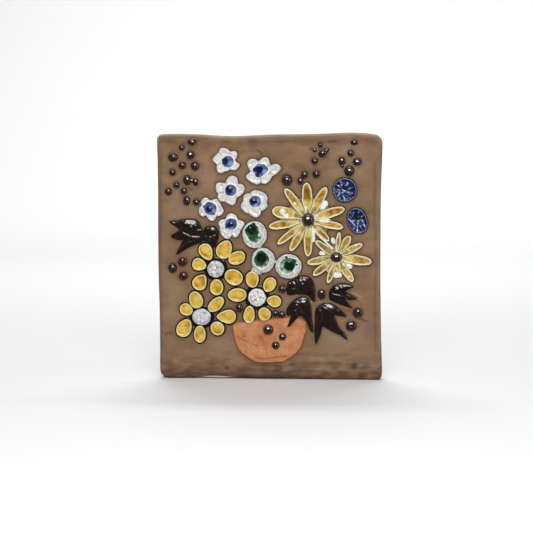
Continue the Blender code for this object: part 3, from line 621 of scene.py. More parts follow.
slabLook = {
    "depthOfOutline": -16.0,  # where the front rounding starts
    "cell": 1.35,
    "rimLines": [0.0, 0.15, 0.5, 1.1, 1.9, 2.9, 4.1, 5.4],
    "rounding": 6.0,
    "backRounding": 2.5,
    "sideDepths": (-13.0, -10.0, -7.0, -4.5),
    "backTurns": (0.5, 1.0, 1.3, math.pi / 2),
    "wobble": (0.15, 14, 12),  # of its sides: how much, size, seed
    "slotRows": [(0.25, -0.5), (0.3, -4.0), (0.5, -8.0), (0.9, -11.6), (1.6, -12.0)],  # inset, depth
    "fineReach": 2.6,  # finer cells this close to a line in the clay
    "fineCell": 0.7,
    "plainLine": 0.5,  # a gouge paler than this needs no finer cells
    "roughness": 0.86,
    "ior": 1.5,
    "specular": 0.2,
    "bump": (0.6, 0.4),  # strength, and depth in mm
    "patterns": {"cloud": (38, 4.0, 0.5), "grain": (1.5, 3.0, 0.5)},
    "smearPattern": (9, 5.0, 0.62),
    "smearShrink": 0.45,
    "smearShare": 0.6,
    "grainShare": 0.35,
    "broken": (1.2, 0.4),  # times and plus: how the smears break up the pale, mauve and darker coats
    "waves": [(0.50, 46, 1), (0.30, 17, 2), (0.13, 6, 3)],  # height, size, seed
    "clay": [(0.30, "#7B5F47"), (0.44, "#82664C"), (0.56, "#876A50"), (0.70, "#8D7056")],
    "smear": [(0.28, "#A2A2A6"), (0.50, "#BCBCBC"), (0.74, "#D2D0CA")],  # bc leaves the clay as it is
    "grain": [(0.30, "#A4A4A4"), (0.50, "#BCBCBC"), (0.70, "#D0D0D0")],
    "pale": "#A9957E",
    "mauve": "#77605A",
    # the darker coat: iron stains and smudges, and painted shade round the pressed pieces, along the bottom
    # edge and in the gouges
    "stainAndShade": "#4A3324",
    "gouges": [  # incised lines and cracks: points, width, depth, darkness (painted shade in the groove)
        ([(-35, 123), (-20, 126), (-14.3, 125.6)], 0.8, 0.3, 0.35),
        ([(-14.3, 125.6), (-10, 123), (-8.3, 120)], 0.8, 0.6, 0.9),
        ([(-78.5, 111.4), (-78.5, 96.3)], 1.1, 0.3, 0.3),
        ([(-96.4, 81.4), (-93.5, 80.8), (-91.2, 78.8)], 0.8, 0.4, 0.8),
        ([(-124, -94.4), (-120.5, -92.0), (-117, -91.6)], 0.8, 0.5, 0.85),
        ([(-126, 66), (-119, 64.5), (-112, 62.5)], 1.1, 0.35, 0.3),
        ([(-7.5, 63.5), (-1, 62.8), (4, 63)], 0.9, 0.35, 0.55),
        ([(102.8, -72.2), (109, -73.6), (116.4, -76.4)], 1.2, 0.45, 0.6),
        ([(96, -46), (104, -52), (110, -57)], 1.0, 0.35, 0.25),
        ([(-131, 10), (-128.5, 40), (-129.5, 80), (-128, 118)], 1.6, 0.5, 0.30),
        ([(127, -110), (125.5, -60), (126.5, -5), (124.5, 60), (125, 110)], 1.6, 0.5, 0.40),
        ([(30, -115), (60, -118), (92, -116)], 1.4, 0.35, 0.25),
        ([(25, -128.5), (58, -126.0), (96, -127.5), (118, -125)], 1.5, 0.4, 0.35),
        ([(-75, -128), (-30, -131), (20, -130)], 1.3, 0.3, 0.25),
    ],
    "slips": [  # raised lines of slip that was left beside the leaves
        [(44.5, -49), (50.5, -55)],
        [(58, -54.5), (66, -53.0), (77, -59), (84, -65)],
        [(71, -52.5), (84, -57.5), (97, -62)],
        [(97.6, -42.1), (109.1, -48.3)],
        [(77, -26.5), (88, -28.0), (100, -30.5)],
        [(25, -40.5), (33, -45.5)],
    ],
    "smudges": [  # x, z, half width, half height, mauve, dark
        (-50.6, 135.8, 6.5, 1.6, 0.1, 0.4), (-19.6, 134.0, 5.5, 5.0, 0.6, 0.25),
        (49.0, 127.8, 1.6, 1.6, 0.2, 0.7), (74.1, 136.1, 6.0, 1.9, 0.1, 0.36),
        (34.5, 106.0, 9.5, 4.6, 0.2, 0.28), (-50.6, -133.5, 2.6, 1.6, 0.1, 0.45),
        (-120.7, -124.2, 6.0, 6.0, 0.4, 0.1), (102.0, -129.6, 3.4, 3.6, 0.4, 0.5),
        (113.0, -138.5, 6.0, 2.6, 0.3, 0.35), (70.0, 128.0, 3.0, 2.2, 0.4, 0.0),
        (117.0, -8.0, 7.0, 12.0, 0.45, 0.1), (118.0, -88.0, 5.0, 10.0, 0.45, 0.0),
        (-96.0, 56.0, 7.0, 9.0, 0.25, 0.0), (0.0, 100.0, 9.0, 9.0, 0.15, 0.2),
        (17.0, 136.0, 8.0, 2.2, 0.1, 0.35), (118.0, 120.0, 7.0, 5.0, 0.3, 0.0),
    ],
    "paleSpots": [  # x, z, half width, half height, strength
        (50.0, -133.3, 13.0, 1.5, 0.5), (97.0, 112.0, 26.0, 22.0, 0.20), (85.0, -92.0, 26.0, 20.0, 0.22),
        (-105.0, 60.0, 18.0, 26.0, 0.20), (-60.0, -112.0, 30.0, 14.0, 0.14), (66.0, -121.5, 18.0, 3.0, 0.22),
        (26.0, -134.5, 16.0, 2.2, 0.2), (96.0, -121.0, 12.0, 3.2, 0.2), (-112.0, -60.0, 12.0, 30.0, 0.12),
    ],
}


def slabRelief(points, edge, near):
    look = slabLook
    x, z = points.T
    relief = waves(x, z, look["waves"])
    # finger strokes along the bottom edge and in from the sides
    strokes = lumps(x / 3.2, z, 3.4, 5)
    low = ease(-112, -132, z)
    relief += low * (0.18 * strokes + 0.22 * lumps(x / 2, z, 9, 6))
    relief += 0.20 * (1 - ease(6, 22, edge)) * lumps(x, z / 2.5, 8, 7)
    relief += 0.6 * np.exp(-((edge - 7.0) / 3.0) ** 2) * (0.6 + 0.5 * lumps(x, z, 25, 8))  # raised lip
    relief *= ease(0.6, 5.0, near)
    relief += 0.22 * np.exp(-((near - 2.6) / 1.3) ** 2)  # clay pushed up round each pressed piece
    relief += (0.06 * lumps(x, z, 2.6, 4) + 0.05 * lumps(x / 2, z, 1.8, 14)) * ease(0.0, 1.5, near)

    soft = lumps(x, z, 9, 9)
    wide = lumps(x / 1.7, z, 24, 15)
    sideBands = ease(11.0, 2.0, np.abs(np.abs(x) - 133.0 + 1.5 * soft)) * ease(148, 120, np.abs(z))
    mauve = 0.45 * sideBands * (0.7 + 0.6 * soft) + 0.30 * np.clip(lumps(x, z, 19, 11), 0, 1)
    # darker round each pressed piece: partly an iron stain, partly painted shade where the pieces meet the
    # clay
    dark = 0.30 * ease(4.5, 0.0, near) * (0.6 + 0.7 * np.clip(soft + 0.3, 0, 1))
    # darker along the bottom: streaks where fingers smeared the clay, and painted shade on the lowest edge,
    # which rounds under
    dark += 0.42 * low * np.clip(0.45 + strokes * 1.2, 0, 1) + 0.30 * ease(-129, -137, z + 1.5 * soft)
    dark += 0.22 * np.clip(wide - 0.05, 0, 1)
    streaks = np.clip(0.5 + lumps(x / 3, z, 6, 16), 0, 1)
    dark += 0.35 * ease(127, 137, z + 2.5 * soft) * ease(3.5, 7.0, edge) * streaks
    pale = 0.25 * np.clip(-wide - 0.1, 0, 1) + 0.20 * low * np.clip(-strokes, 0, 1)
    # paler along the top edge: a painted highlight on the rounded lip
    pale += 0.9 * ease(3.4, 1.2, edge) * ease(128, 138, z)
    pale += 0.35 * ease(5.0, 1.5, edge) * ease(120, 100, np.abs(z)) * ease(0, 1, x)
    for spotX, spotZ, wideX, highZ, purple, brown in look["smudges"]:
        spot = patch(points, spotX, spotZ, (wideX, highZ), 0.55 * min(wideX, highZ))
        mauve += purple * spot
        dark += brown * spot
    for spotX, spotZ, wideX, highZ, strength in look["paleSpots"]:
        pale += strength * patch(points, spotX, spotZ, (wideX, highZ), 0.6 * min(wideX, highZ))
    for line, width, depth, brown in look["gouges"]:
        groove = nearLine(points, line, width) * np.clip(0.8 + 0.6 * soft, 0.2, 1)
        relief -= depth * groove
        # each gouge is darkened too: painted shade in the groove
        dark += brown * groove
    for line in look["slips"]:
        ridge = nearLine(points, line, 0.9)
        relief += 0.5 * ridge
        pale += 0.55 * ridge
    melt = np.clip(np.column_stack([pale, mauve, dark]), 0, 0.9)
    return relief * ease(0.0, 5.0, edge), melt


def makeSlab(look, material):
    loop = smoothLoop(cadLoops("slab", look["depthOfOutline"])[0], 0.8)
    half = (loop.max(0) - loop.min(0)) / 2
    corners = [int(np.argmax(loop @ (half[::-1] * side))) for side in ((-1, -1), (1, -1), (1, 1), (-1, 1))]
    sides = []
    for a, b in zip(corners, corners[1:] + corners[:1]):
        side = np.array([loop[(a + i) % len(loop)] for i in range((b - a) % len(loop) + 1)])
        length = np.concatenate([[0], np.cumsum(np.hypot(*np.diff(side, axis=0).T))])
        sides.append((length / length[-1], side))

    def alongSide(number, share):
        spots, side = sides[number]
        return np.column_stack([np.interp(share, spots, side[:, k]) for k in (0, 1)])

    def lineSpots(length):
        rim = np.array(look["rimLines"])
        count = round((length - 2 * rim[-1]) / look["cell"]) + 1
        inner = np.linspace(rim[-1], length - rim[-1], count)
        return np.concatenate([rim[:-1], inner, length - rim[-2::-1]]) / length

    # a grid fitted between the four sides, with closer lines where the edge rounds over
    across, up = lineSpots(2 * half[0]), lineSpots(2 * half[1])
    bm = newForm()
    bmesh.ops.create_grid(bm, x_segments=len(across) - 1, y_segments=len(up) - 1, size=1.0)
    grid = np.array([v.co[:2] for v in bm.verts])
    u = np.interp((grid[:, 0] + 1) / 2, np.linspace(0, 1, len(across)), across)
    v = np.interp((grid[:, 1] + 1) / 2, np.linspace(0, 1, len(up)), up)
    low, right, high, left = alongSide(0, u), alongSide(1, v), alongSide(2, 1 - u), alongSide(3, 1 - v)
    c = [loop[i] for i in corners]
    u, v = u[:, None], v[:, None]
    flat = (1 - v) * low + v * high + (1 - u) * left + u * right
    flat -= (1 - u) * (1 - v) * c[0] + u * (1 - v) * c[1] + u * v * c[2] + (1 - u) * v * c[3]
    for vert, (x, z) in zip(bm.verts, flat):
        vert.co = (x * mm, 0, z * mm)

    # finer cells where a line is drawn in the clay
    for line in [gouge[0] for gouge in look["gouges"] if gouge[3] >= look["plainLine"]] + look["slips"]:
        gaps = distanceTo(np.array([(v.co.x, v.co.z) for v in bm.verts]) / mm, line, closed=False)
        wanted = {v for v, gap in zip(bm.verts, gaps) if gap < look["fineReach"]}
        coarse = look["fineCell"] * mm
        edges = [e for e in bm.edges if wanted.issuperset(e.verts) and e.calc_length() > coarse]
        bmesh.ops.subdivide_edges(bm, edges=edges, cuts=1, use_grid_fill=True)

    points = np.array([(v.co.x, v.co.z) for v in bm.verts]) / mm
    edge = distanceTo(points, loop)
    near = np.full(len(points), 99.0)
    for name, outline in outlines.items():
        close = np.where(np.hypot(*(points - outline.mean(0)).T) < np.ptp(outline, 0).max() + 12)[0]
        gap = distanceTo(points[close], outline)
        gap[isInside(points[close], outline)] = 0
        near[close] = np.minimum(near[close], np.maximum(gap - skirts[name], 0))
    for spot, size, lean in slabBeads + freeBeads:
        near = np.minimum(near, np.maximum(np.hypot(*(points - spot).T) - size.max() / 2, 0))
    relief, melt = slabRelief(points, edge, near)
    sag = look["rounding"] * (1 - np.sqrt(1 - np.clip(1 - edge / look["rounding"], 0, 1) ** 2))
    edgeLayer, meltLayer = bm.verts.layers.float["edge"], bm.verts.layers.float_vector["melt"]
    for vert, place, e, m in zip(bm.verts, toScene(points, relief - sag), edge, melt):
        vert.co = place
        vert[edgeLayer], vert[meltLayer] = e, Vector(m)

    # the sides, down to the rounded edge of the back
    row = walkLoops([e for e in bm.edges if e.is_boundary])[0]
    rim = np.array([(v.co.x, v.co.z) for v in row]) / mm
    if not np.array_equal(turnsLeft(rim), rim):
        row, rim = row[::-1], rim[::-1]
    back = look["backRounding"]
    depths = [(0.0, y) for y in (*look["sideDepths"], -back)]
    depths += [(back * (1 - math.cos(a)), back * (math.sin(a) - 1)) for a in look["backTurns"]]
    amount, size, seed = look["wobble"]
    wobble = amount * lumps(*rim.T, size, seed) - amount
    pale, mauve = 0.25 + 0.3 * lumps(*rim.T, 20, 17), 0.4 + 0.3 * lumps(*rim.T, 31, 18)
    # the sides are darker towards the bottom: painted shade
    sideMelt = np.column_stack([pale, mauve, 0.25 * ease(-130, -142, rim[:, 1])])
    for inset, depth in depths:
        swell = wobble * math.sin(math.pi * min(1.0, depth / look["depthOfOutline"]))
        row = nextRow(bm, row, [Vector((x, depth, z)) * mm for x, z in growLoop(rim, swell - inset)])
        for vert, m in zip(row, np.clip(sideMelt, 0, 0.8)):
            vert[edgeLayer], vert[meltLayer] = 2.0, Vector(m)
    # the back, and the blind slot that hangs over a nail
    slotLoop = smoothLoop(cadLoops("slab", 0.0)[1], 1.2)
    slot = bmesh.ops.create_circle(bm, cap_ends=False, segments=len(slotLoop), radius=1)["verts"]
    for vert, (x, z) in zip(slot, slotLoop):
        vert.co = (x * mm, 0, z * mm)
    border = [bm.edges.get((ring[i - 1], ring[i])) for ring in (row, slot) for i in range(len(ring))]
    bmesh.ops.triangle_fill(bm, edges=border, use_beauty=True)
    for inset, depth in look["slotRows"]:
        slot = nextRow(bm, slot, [Vector((x, depth, z)) * mm for x, z in growLoop(slotLoop, -inset)])
    bmesh.ops.triangulate(bm, faces=[bm.faces.new(slot)])
    addPiece("slab_clay", bm, material, ["slab"])


def beadsOnSlab():
    # the small beads that are one with the CAD slab: middle, size and lean of each
    bm = cadCopy("slab")
    raised = {v for v in bm.verts if v.co.y / mm < slabFace - 0.1}
    found = []
    while raised:
        group, queue = [], [raised.pop()]
        while queue:
            vert = queue.pop()
            group.append(vert)
            for e in vert.link_edges:
                other = e.other_vert(vert)
                if other in raised:
                    raised.discard(other)
                    queue.append(other)
        points = np.array([(v.co.x, v.co.z) for v in group]) / mm
        if len(points) > 20:  # two beads that ran together
            spread = points - points.mean(0)
            far = spread @ np.linalg.eigh(np.cov(spread.T))[1][:, 1] > 0  # along the longer way
            found += [beadFrom(points[far]), beadFrom(points[~far])]
        else:
            found.append(beadFrom(points))
    bm.free()
    return sorted(found, key=lambda bead: tuple(bead[0].round(2)))  # a set has no order of its own


def beadFrom(points):
    low, high = points.min(0), points.max(0)
    spread = np.cov(points.T)
    lean = 0.5 * math.atan2(2 * spread[0, 1], spread[0, 0] - spread[1, 1])
    total = spread.trace()
    if abs(spread[0, 0] - spread[1, 1]) < 0.15 * total and abs(spread[0, 1]) < 0.08 * total:
        lean = 0.0
    turn = np.array([[math.cos(lean), math.sin(lean)], [-math.sin(lean), math.cos(lean)]])
    return (low + high) / 2, np.ptp((points - (low + high) / 2) @ turn.T, 0), lean


beadLook = {
    "roughness": 0.08,
    "ior": 2.1,
    "bump": (0.10, 0.4),
    "patterns": {"cloud": (3.0, 5.0, 0.65)},
    "body": [(0.35, "#1A0A06"), (0.5, "#29110B"), (0.66, "#3F1E14")],
    "thinBand": (0.0, 1.8, 0.55),
    "thin": "#4A2318",
    "toned": "#9E8478",
    "segments": (28, 18),
    "dentDepth": 0.28,
    "twins": [((-4.1, 0.85), 8.2), ((3.3, -0.85), 8.8)],  # from the pair's middle, and size
    "sunkInPot": 0.3,
    "sunkInStar": 0.6,
    "lump": 0.07,
    "halfDepth": 0.48,
    "lift": 0.05,
    "dents": {  # beads with a dimple: sideways and up from the middle, and size, as shares of the bead
        "bead_1": (0.05, -0.15, 0.5), "bead_6": (0.10, -0.05, 0.45), "bead_8": (0.05, 0.05, 0.5),
    },
    "bridges": [  # necks between beads that ran together, and tails
        ((-92.6, 90.0), (9.5, 5.0), -0.24), ((67.0, 125.3), (10.0, 5.2), 0.57),
        ((-116.8, 119.0), (5.0, 4.0), -0.5),
        ((39.8, 93.9), (4.0, 4.0), 0.9), ((86.6, 107.5), (4.0, 5.0), 0.0), ((-83.4, 65.4), (4.5, 3.4), 0.1),
    ],
}


def addBead(bm, spot, size, lean, seed, base=0.0, dent=None):
    look = beadLook
    width, height = size
    small = min(width, height)
    turn = Matrix.Rotation(-lean, 4, "Y")
    shape = Matrix.Diagonal((width / 2, look["halfDepth"] * small, height / 2, 1))
    around, up = look["segments"]
    ball = bmesh.ops.create_uvsphere(bm, u_segments=around, v_segments=up, radius=1)["verts"]
    edgeLayer = bm.verts.layers.float["edge"]
    middle = Vector((spot[0], slabFace - base - look["lift"] * small, spot[1]))
    for vert in ball:
        push = 1 + look["lump"] * noise.noise(vert.co * 1.3 + Vector((seed * 1.7, 0.3, 0.9)))
        push += 0.5 * look["lump"] * noise.noise(vert.co * 3.1 + Vector((seed * 0.7, 5.3, 2.9)))
        if dent and vert.co.y < 0:
            away = math.hypot(vert.co.x - dent[0], vert.co.z - dent[1]) / dent[2]
            push -= look["dentDepth"] * math.exp(-away ** 2)
        place = middle + turn @ (shape @ (vert.co * push))
        vert[edgeLayer] = max(0.0, slabFace - base - place.y)
        vert.co = place * mm


def makeBeads(name, beads, nodes, base=0.0):
    bm = newForm()
    for index, (spot, size, lean) in enumerate(beads):
        dent = beadLook["dents"].get(nodes[index]) if len(nodes) == len(beads) else None
        addBead(bm, spot, size, lean, index + len(name), base, dent)
    addPiece(name, bm, beadGlaze, nodes)


def beadsOf(nodes):
    return [(middleOf(n), sizeOf(n), 0.0) for n in nodes]


def footOf(node):
    # how far a CAD solid's own foot stands off the slab's face
    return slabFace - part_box(node)[1].y / mm - seatGap


slabBeads = beadsOnSlab()
print("beads on the slab:", len(slabBeads))
looseNodes = [f"bead_{i}" for i in range(1, 9)]
potNodes = [f"pot_bead_{i}" for i in range(1, 4)]
eyeNodes = ["star_centre_1", "star_centre_2"]
looseBeads = beadsOf(looseNodes)
twin = middleOf("twin_bead")
twinBeads = [(twin + away, np.array([size, size]), 0.0) for away, size in beadLook["twins"]]
freeBeads = looseBeads + twinBeads
bridges = [(np.array(spot), np.array(size), lean) for spot, size, lean in beadLook["bridges"]]
makeSlab(slabLook, makeStoneware(slabLook))
print("slab made")

beadGlaze = makeDarkGlaze("brownBeadGlaze", beadLook)
makeBeads("spray_beads", slabBeads + bridges, [])
makeBeads("loose_beads", looseBeads, looseNodes)
makeBeads("joined_beads", twinBeads, ["twin_bead"])
makeBeads("pot_beads", beadsOf(potNodes), potNodes, footOf("pot_bead_1") - beadLook["sunkInPot"])
makeBeads("star_eyes", beadsOf(eyeNodes), eyeNodes, footOf("star_centre_1") - beadLook["sunkInStar"])
print("beads made")

potLook = {
    "height": 3.4,
    "pressed": 1.0,  # left under the pieces that cross its rim
    "roughness": 0.85,
    "ior": 1.5,
    "specular": 0.3,
    "bump": (0.6, 0.4),
    "patterns": {"cloud": (13, 5.0, 0.62), "grain": (1.3, 4.0, 0.5)},
    "waves": [(0.30, 13, 22), (0.20, 5, 23), (0.09, 2, 24)],
    "waver": 3.0,
    "rimBand": (-1.8, 0.5, 0.8),
    "shoulder": 1.5,
    "spine": ((-14, -98), (14, -98)),
    "rings": 44,
    "creaseWidth": 0.9,
    "creaseDepth": 0.8,
    "belowCrease": 0.7,  # how much lower the clay lies under it
    "scratchWidth": 0.75,
    "scratchDepth": 0.5,
    "crossedBy": ["right_leaf_2", "daisy_2_petal_3", "daisy_3_petal_4", "daisy_3_petal_5"],
    "clay": [(0.28, "#A96A42"), (0.42, "#B9794F"), (0.54, "#C1835A"), (0.66, "#C88D65"), (0.80, "#D09A74")],
    # rim: a painted shadow line along the edge; the tone coat below it: brown mottling, with painted shade
    # in the crease, the scratches and under the crossing pieces
    "rim": "#8E5032",
    "toned": "#8A4A30",
    "pale": "#CC9470",
    "grainShare": 0.7,
    "grain": [(0.30, "#A4A4A4"), (0.50, "#BCBCBC"), (0.70, "#D0D0D0")],
    "crease": [(-15.5, -120.3), (-8, -122.2), (0, -121.4), (10, -119.6), (21.5, -118.2)],
    "scratches": [
        [(-33, -97), (-30, -99.5), (-27, -101)], [(-31, -95), (-28.5, -94.5)],
        [(-19, -104), (-15, -106.5), (-13, -106)],
        [(-12, -93.5), (-9, -97)], [(14, -98), (19, -95.5)], [(25, -83), (29, -80.5)],
    ],
}


def makePot(look, material):
    cad = outlines["flowerpot"]
    hull = turnsLeft(cad[convex_hull_2d([Vector(p) for p in cad])])
    outline = roughen(smoothLoop(hull, 0.9), 0.45, 5, 21, -0.3)

    def shape(x, z, edge):
        points = np.column_stack([x, z])
        height = look["height"] * wall(edge, 0.35, look["shoulder"]) + waves(x, z, look["waves"])
        height -= 0.35 * (1 - ease(1.0, 7.0, edge))
        gap = distanceTo(points, look["crease"], closed=False)
        line = np.exp(-(gap / look["creaseWidth"]) ** 2)
        below = ease(-119.5, -121.5, z - 0.05 * x) * ease(0, 3, gap)
        height -= look["creaseDepth"] * line + look["belowCrease"] * below
        # darker in the crease: painted shade; the strip below it is mottled
        tone = 0.6 * line + 0.2 * below * np.clip(0.4 + lumps(x, z, 3.5, 25), 0, 1)
        tone += 0.35 * np.clip(lumps(x, z, 8, 26) - 0.15, 0, 1)
        for scratch in look["scratches"]:
            mark = nearLine(points, scratch, look["scratchWidth"])
            height -= look["scratchDepth"] * mark
            # each scratch is darkened: painted shade
            tone += 0.75 * mark
        keep = np.ones(len(x))
        for name in look["crossedBy"]:
            near = distanceTo(points, outlines[name])
            near[isInside(points, outlines[name])] = 0
            keep = np.minimum(keep, ease(0.1, 1.1, near))
        height = look["pressed"] + (height - look["pressed"]) * keep
        pale = 0.5 * below * np.clip(0.5 + lumps(x, z, 4, 27), 0, 1)
        pale += 0.3 * np.clip(lumps(x / 1.5, z, 7, 28), 0, 1)
        # darker under and beside the pieces that cross the rim: painted shade
        return height, np.clip(tone + 0.5 * (1 - keep), 0, 1), np.column_stack([pale, 0 * pale, 0 * pale])

    bm = newForm()
    raisePad(bm, outline, look["spine"], shape, skirts["flowerpot"], look["rings"])
    addPiece("flowerpot_clay", bm, material, ["flowerpot"])


makePot(potLook, makeTerracotta(potLook))
print("pot made")

crackledGlaze = {  # what the white glazes have in common
    "ior": 1.6,
    "bump": (0.45, 0.5),
    "bend": 1.6,  # how far the net of cracks strays
    "crackBand": (0.02, 0.16),
    "seamWidth": 0.2,
    "poolEdge": (0.40, 0.56),
    "poolLevel": 0.8,
    "footBand": (-0.12, 0.30, 1.0),
}
whiteLook = crackledGlaze | {
    "height": 4.5,
    "roughness": 0.13,
    "patterns": {"drift": (3.0, 3.0, 0.5), "wander": (3.4, 3.0, 0.5)},
    "waves": [(0.40, 4.2, 41), (0.10, 1.7, 51)],
    "pebble": 3.8,
    "seamDepth": 0.22,
    "shoulder": 2.0,
    "lobeHollow": 0.75,
    "bank": 0.28,
    "poolDepth": 1.0,
    "domeHeight": 1.25,
    "creaseWidth": 0.8,
    "creaseDepth": 0.7,
    "rings": 26,
    "white": [(0.30, "#C6C3BD"), (0.45, "#DAD8D2"), (0.60, "#E8E6E1")],
    "crackSize": 4.6,
    "crack": "#A8A49B",
    "crackDepth": 0.34,
    # hollow: the grey of the painted shade
    "hollow": "#969289",
    "ring": "#E6E5E2",
    "edgeWander": 0.4,
    "depthWander": 0.4,
    "pool": [(0.0, "#A2ADC8"), (0.20, "#7B8BB2"), (0.42, "#4B5C8E"), (0.66, "#232F5C"), (1.0, "#0C1236")],
    "foot": "#2C1D14",
    # where the cobalt lies: cover patches (x, z, radius), shades (x, z, radius, depth of colour), and
    # the dome of glass that stands in the middle of some pools (x, z, radius)
    "pools": [
        {"cover": [(-48.4, 112.3, 6.9), (-54.2, 114.5, 1.5)], "base": 0.38,
         "shades": [(-52.3, 113.0, 3.9, 0.95), (-52.6, 108.1, 1.7, 0.85), (-44.2, 110.0, 3.2, 0.12)]},
        {"cover": [(-10.8, 102.2, 7.0), (-15.8, 102.6, 3.4), (-12.4, 97.0, 3.8), (-5.2, 103.2, 4.4),
                   (-11.6, 106.6, 3.6), (-7.0, 106.2, 3.4)], "base": 0.36,
         "shades": [(-11.2, 103.0, 4.3, 1.0), (-13.3, 97.0, 2.2, 0.85), (-16.8, 103, 2.3, 0.85),
                    (-5.5, 100.5, 2.6, 0.15), (-12.0, 108.4, 1.6, 0.1)]},
        {"cover": [(-45.2, 78.5, 6.9)], "base": 0.42, "dome": (-46.5, 79.0, 4.0),
         "shades": [(-46.5, 79.4, 3.9, 1.0), (-48.0, 74.5, 2.4, 0.75), (-40.8, 78.0, 2.6, 0.30)]},
        {"cover": [(-16.2, 65.3, 7.0)], "base": 0.40, "dome": (-18.1, 65.0, 3.8),
         "shades": [(-18.1, 65.6, 3.9, 1.0), (-15.4, 60.4, 2.8, 0.12), (-11.6, 67.0, 2.4, 0.25)]},
        {"cover": [(-69.3, 56.8, 7.4), (-75.8, 59.0, 2.2), (-67.0, 52.4, 3.6), (-71.0, 61.0, 3.8)],
         "base": 0.46,
         "dome": (-70.2, 56.0, 3.4),
         "shades": [(-71.0, 56.4, 3.5, 0.95), (-64.8, 54.0, 2.6, 0.22), (-66.0, 60.5, 2.2, 0.35)]},
        {"cover": [(-44.7, 38.3, 6.9), (-40.8, 42.0, 2.4), (-49.2, 35.2, 2.6)], "base": 0.44,
         "dome": (-45.0, 37.6, 3.8),
         "shades": [(-45.5, 38.5, 4.0, 0.95), (-50.0, 35.0, 1.6, 0.85), (-44.0, 32.9, 2.4, 0.2),
                    (-48.6, 41.6, 1.6, 0.3)]},
    ],
    "pleated": 3,  # the flower whose border is scalloped, with narrow radial pleats
    "glints": [(-52.0, 28.0, 1.6), (-62.0, 62.0, 1.4), (-38.0, 98.0, 1.2), (-7.0, 118.0, 1.4),
               (-28.0, 56.0, 1.2)],
}


def poolOf(points, pool, reachOut=1.7):
    # how far the oxide spread (0.5 at its edge) and how deep its colour is
    cover = strongest(points, [0.5 + (radius - np.hypot(*(points - (x, z)).T)) / (2 * reachOut)
                               for x, z, radius in pool["cover"]])
    depth = np.full(len(points), pool["base"])
    for x, z, radius, value in pool["shades"]:
        share = patch(points, x, z, radius, 1.0)
        depth += (value - depth) * share
    return np.clip(cover, 0, 1), depth


def makeWhiteFlower(number, node, pool, material):
    look = whiteLook
    cad = outlines[node]
    centreX, centreZ, reach = pool["cover"][0]
    spot = np.array([centreX, centreZ])
    outward = cad - spot
    length = np.hypot(*outward.T)
    tips, notches = tipsAndNotches(cad, spot)
    deep = [i for i in notches if length[i] < 0.9 * min(length[k] for k in beside(tips, i))]
    creases = [(cad[i], spot + outward[i] * (reach + 1.5) / length[i]) for i in deep]
    outline = roughen(smoothLoop(cad, 0.65), 0.22, 2.8, 30 + number)

    def shape(x, z, edge):
        points = np.column_stack([x, z])
        away = np.hypot(*(points - spot).T)
        cover, depth = poolOf(points, pool)
        height = look["height"] * wall(edge, 0.42, look["shoulder"])
        height -= look["lobeHollow"] * ease(1.5, 4.4, edge) * ease(reach + 0.4, reach + 2.6, away)
        ring = ease(0.10, 0.45, cover) * ease(0.70, 0.50, cover) + np.exp(-((away - reach - 1.1) / 0.9) ** 2)
        height += look["bank"] * np.clip(ring, 0, 1) - look["poolDepth"] * ease(0.45, 0.8, cover)
        if "dome" in pool:
            x0, z0, radius = pool["dome"]
            apart = np.hypot(*(points - (x0, z0)).T) / radius
            height += look["domeHeight"] * np.sqrt(np.clip(1 - apart ** 2, 0, 1))
        crease = strongest(points, [nearLine(points, line, look["creaseWidth"]) for line in creases])
        outside = ease(0.45, 0.1, cover)
        pebbles = cells(x + 0.8 * lumps(x, z, 3, 35), z, look["pebble"], 31 + number)[0]
        rough = waves(x, z, look["waves"], number) - look["seamDepth"] * (1 - pebbles) ** 2
        if number == look["pleated"]:
            angle = np.arctan2(*(points - spot).T[::-1])
            pleats = np.abs(np.sin(angle * 9 + 1.5 * lumps(x, z, 9, 61)))
            crease = np.maximum(crease, 0.7 * (1 - pleats) ** 2 * ease(6.5, 1.5, edge))
        height += (rough * ease(-0.2, 1.0, edge) - look["creaseDepth"] * crease) * outside
        height += glints(points, look["glints"]) * outside
        # painted shade: grey in the creases and pleats, on the low parts of the rough glaze and on the wall
        # at the edge
        tone = 0.65 * crease + 0.35 * np.clip(-rough * 2.0, 0, 1) + 0.25 * ease(0.9, 0.0, edge)
        bright = np.clip(0.9 * ease(0.02, 0.35, cover) + 0.45 * ease(reach + 4, reach + 1.2, away), 0, 0.95)
        return height, np.clip(tone * outside, 0, 0.9), np.column_stack([cover, depth, bright])

    bm = newForm()
    raisePad(bm, outline, (spot, spot), shape, skirts[node], look["rings"])
    addPiece(node + "_glazed", bm, material, [node])


whiteGlaze = makePooledGlaze("crackledWhiteGlazeWithCobalt", whiteLook)
for number, pool in enumerate(whiteLook["pools"]):
    makeWhiteFlower(number, f"white_flower_{number + 1}", pool, whiteGlaze)
print("white flowers made")

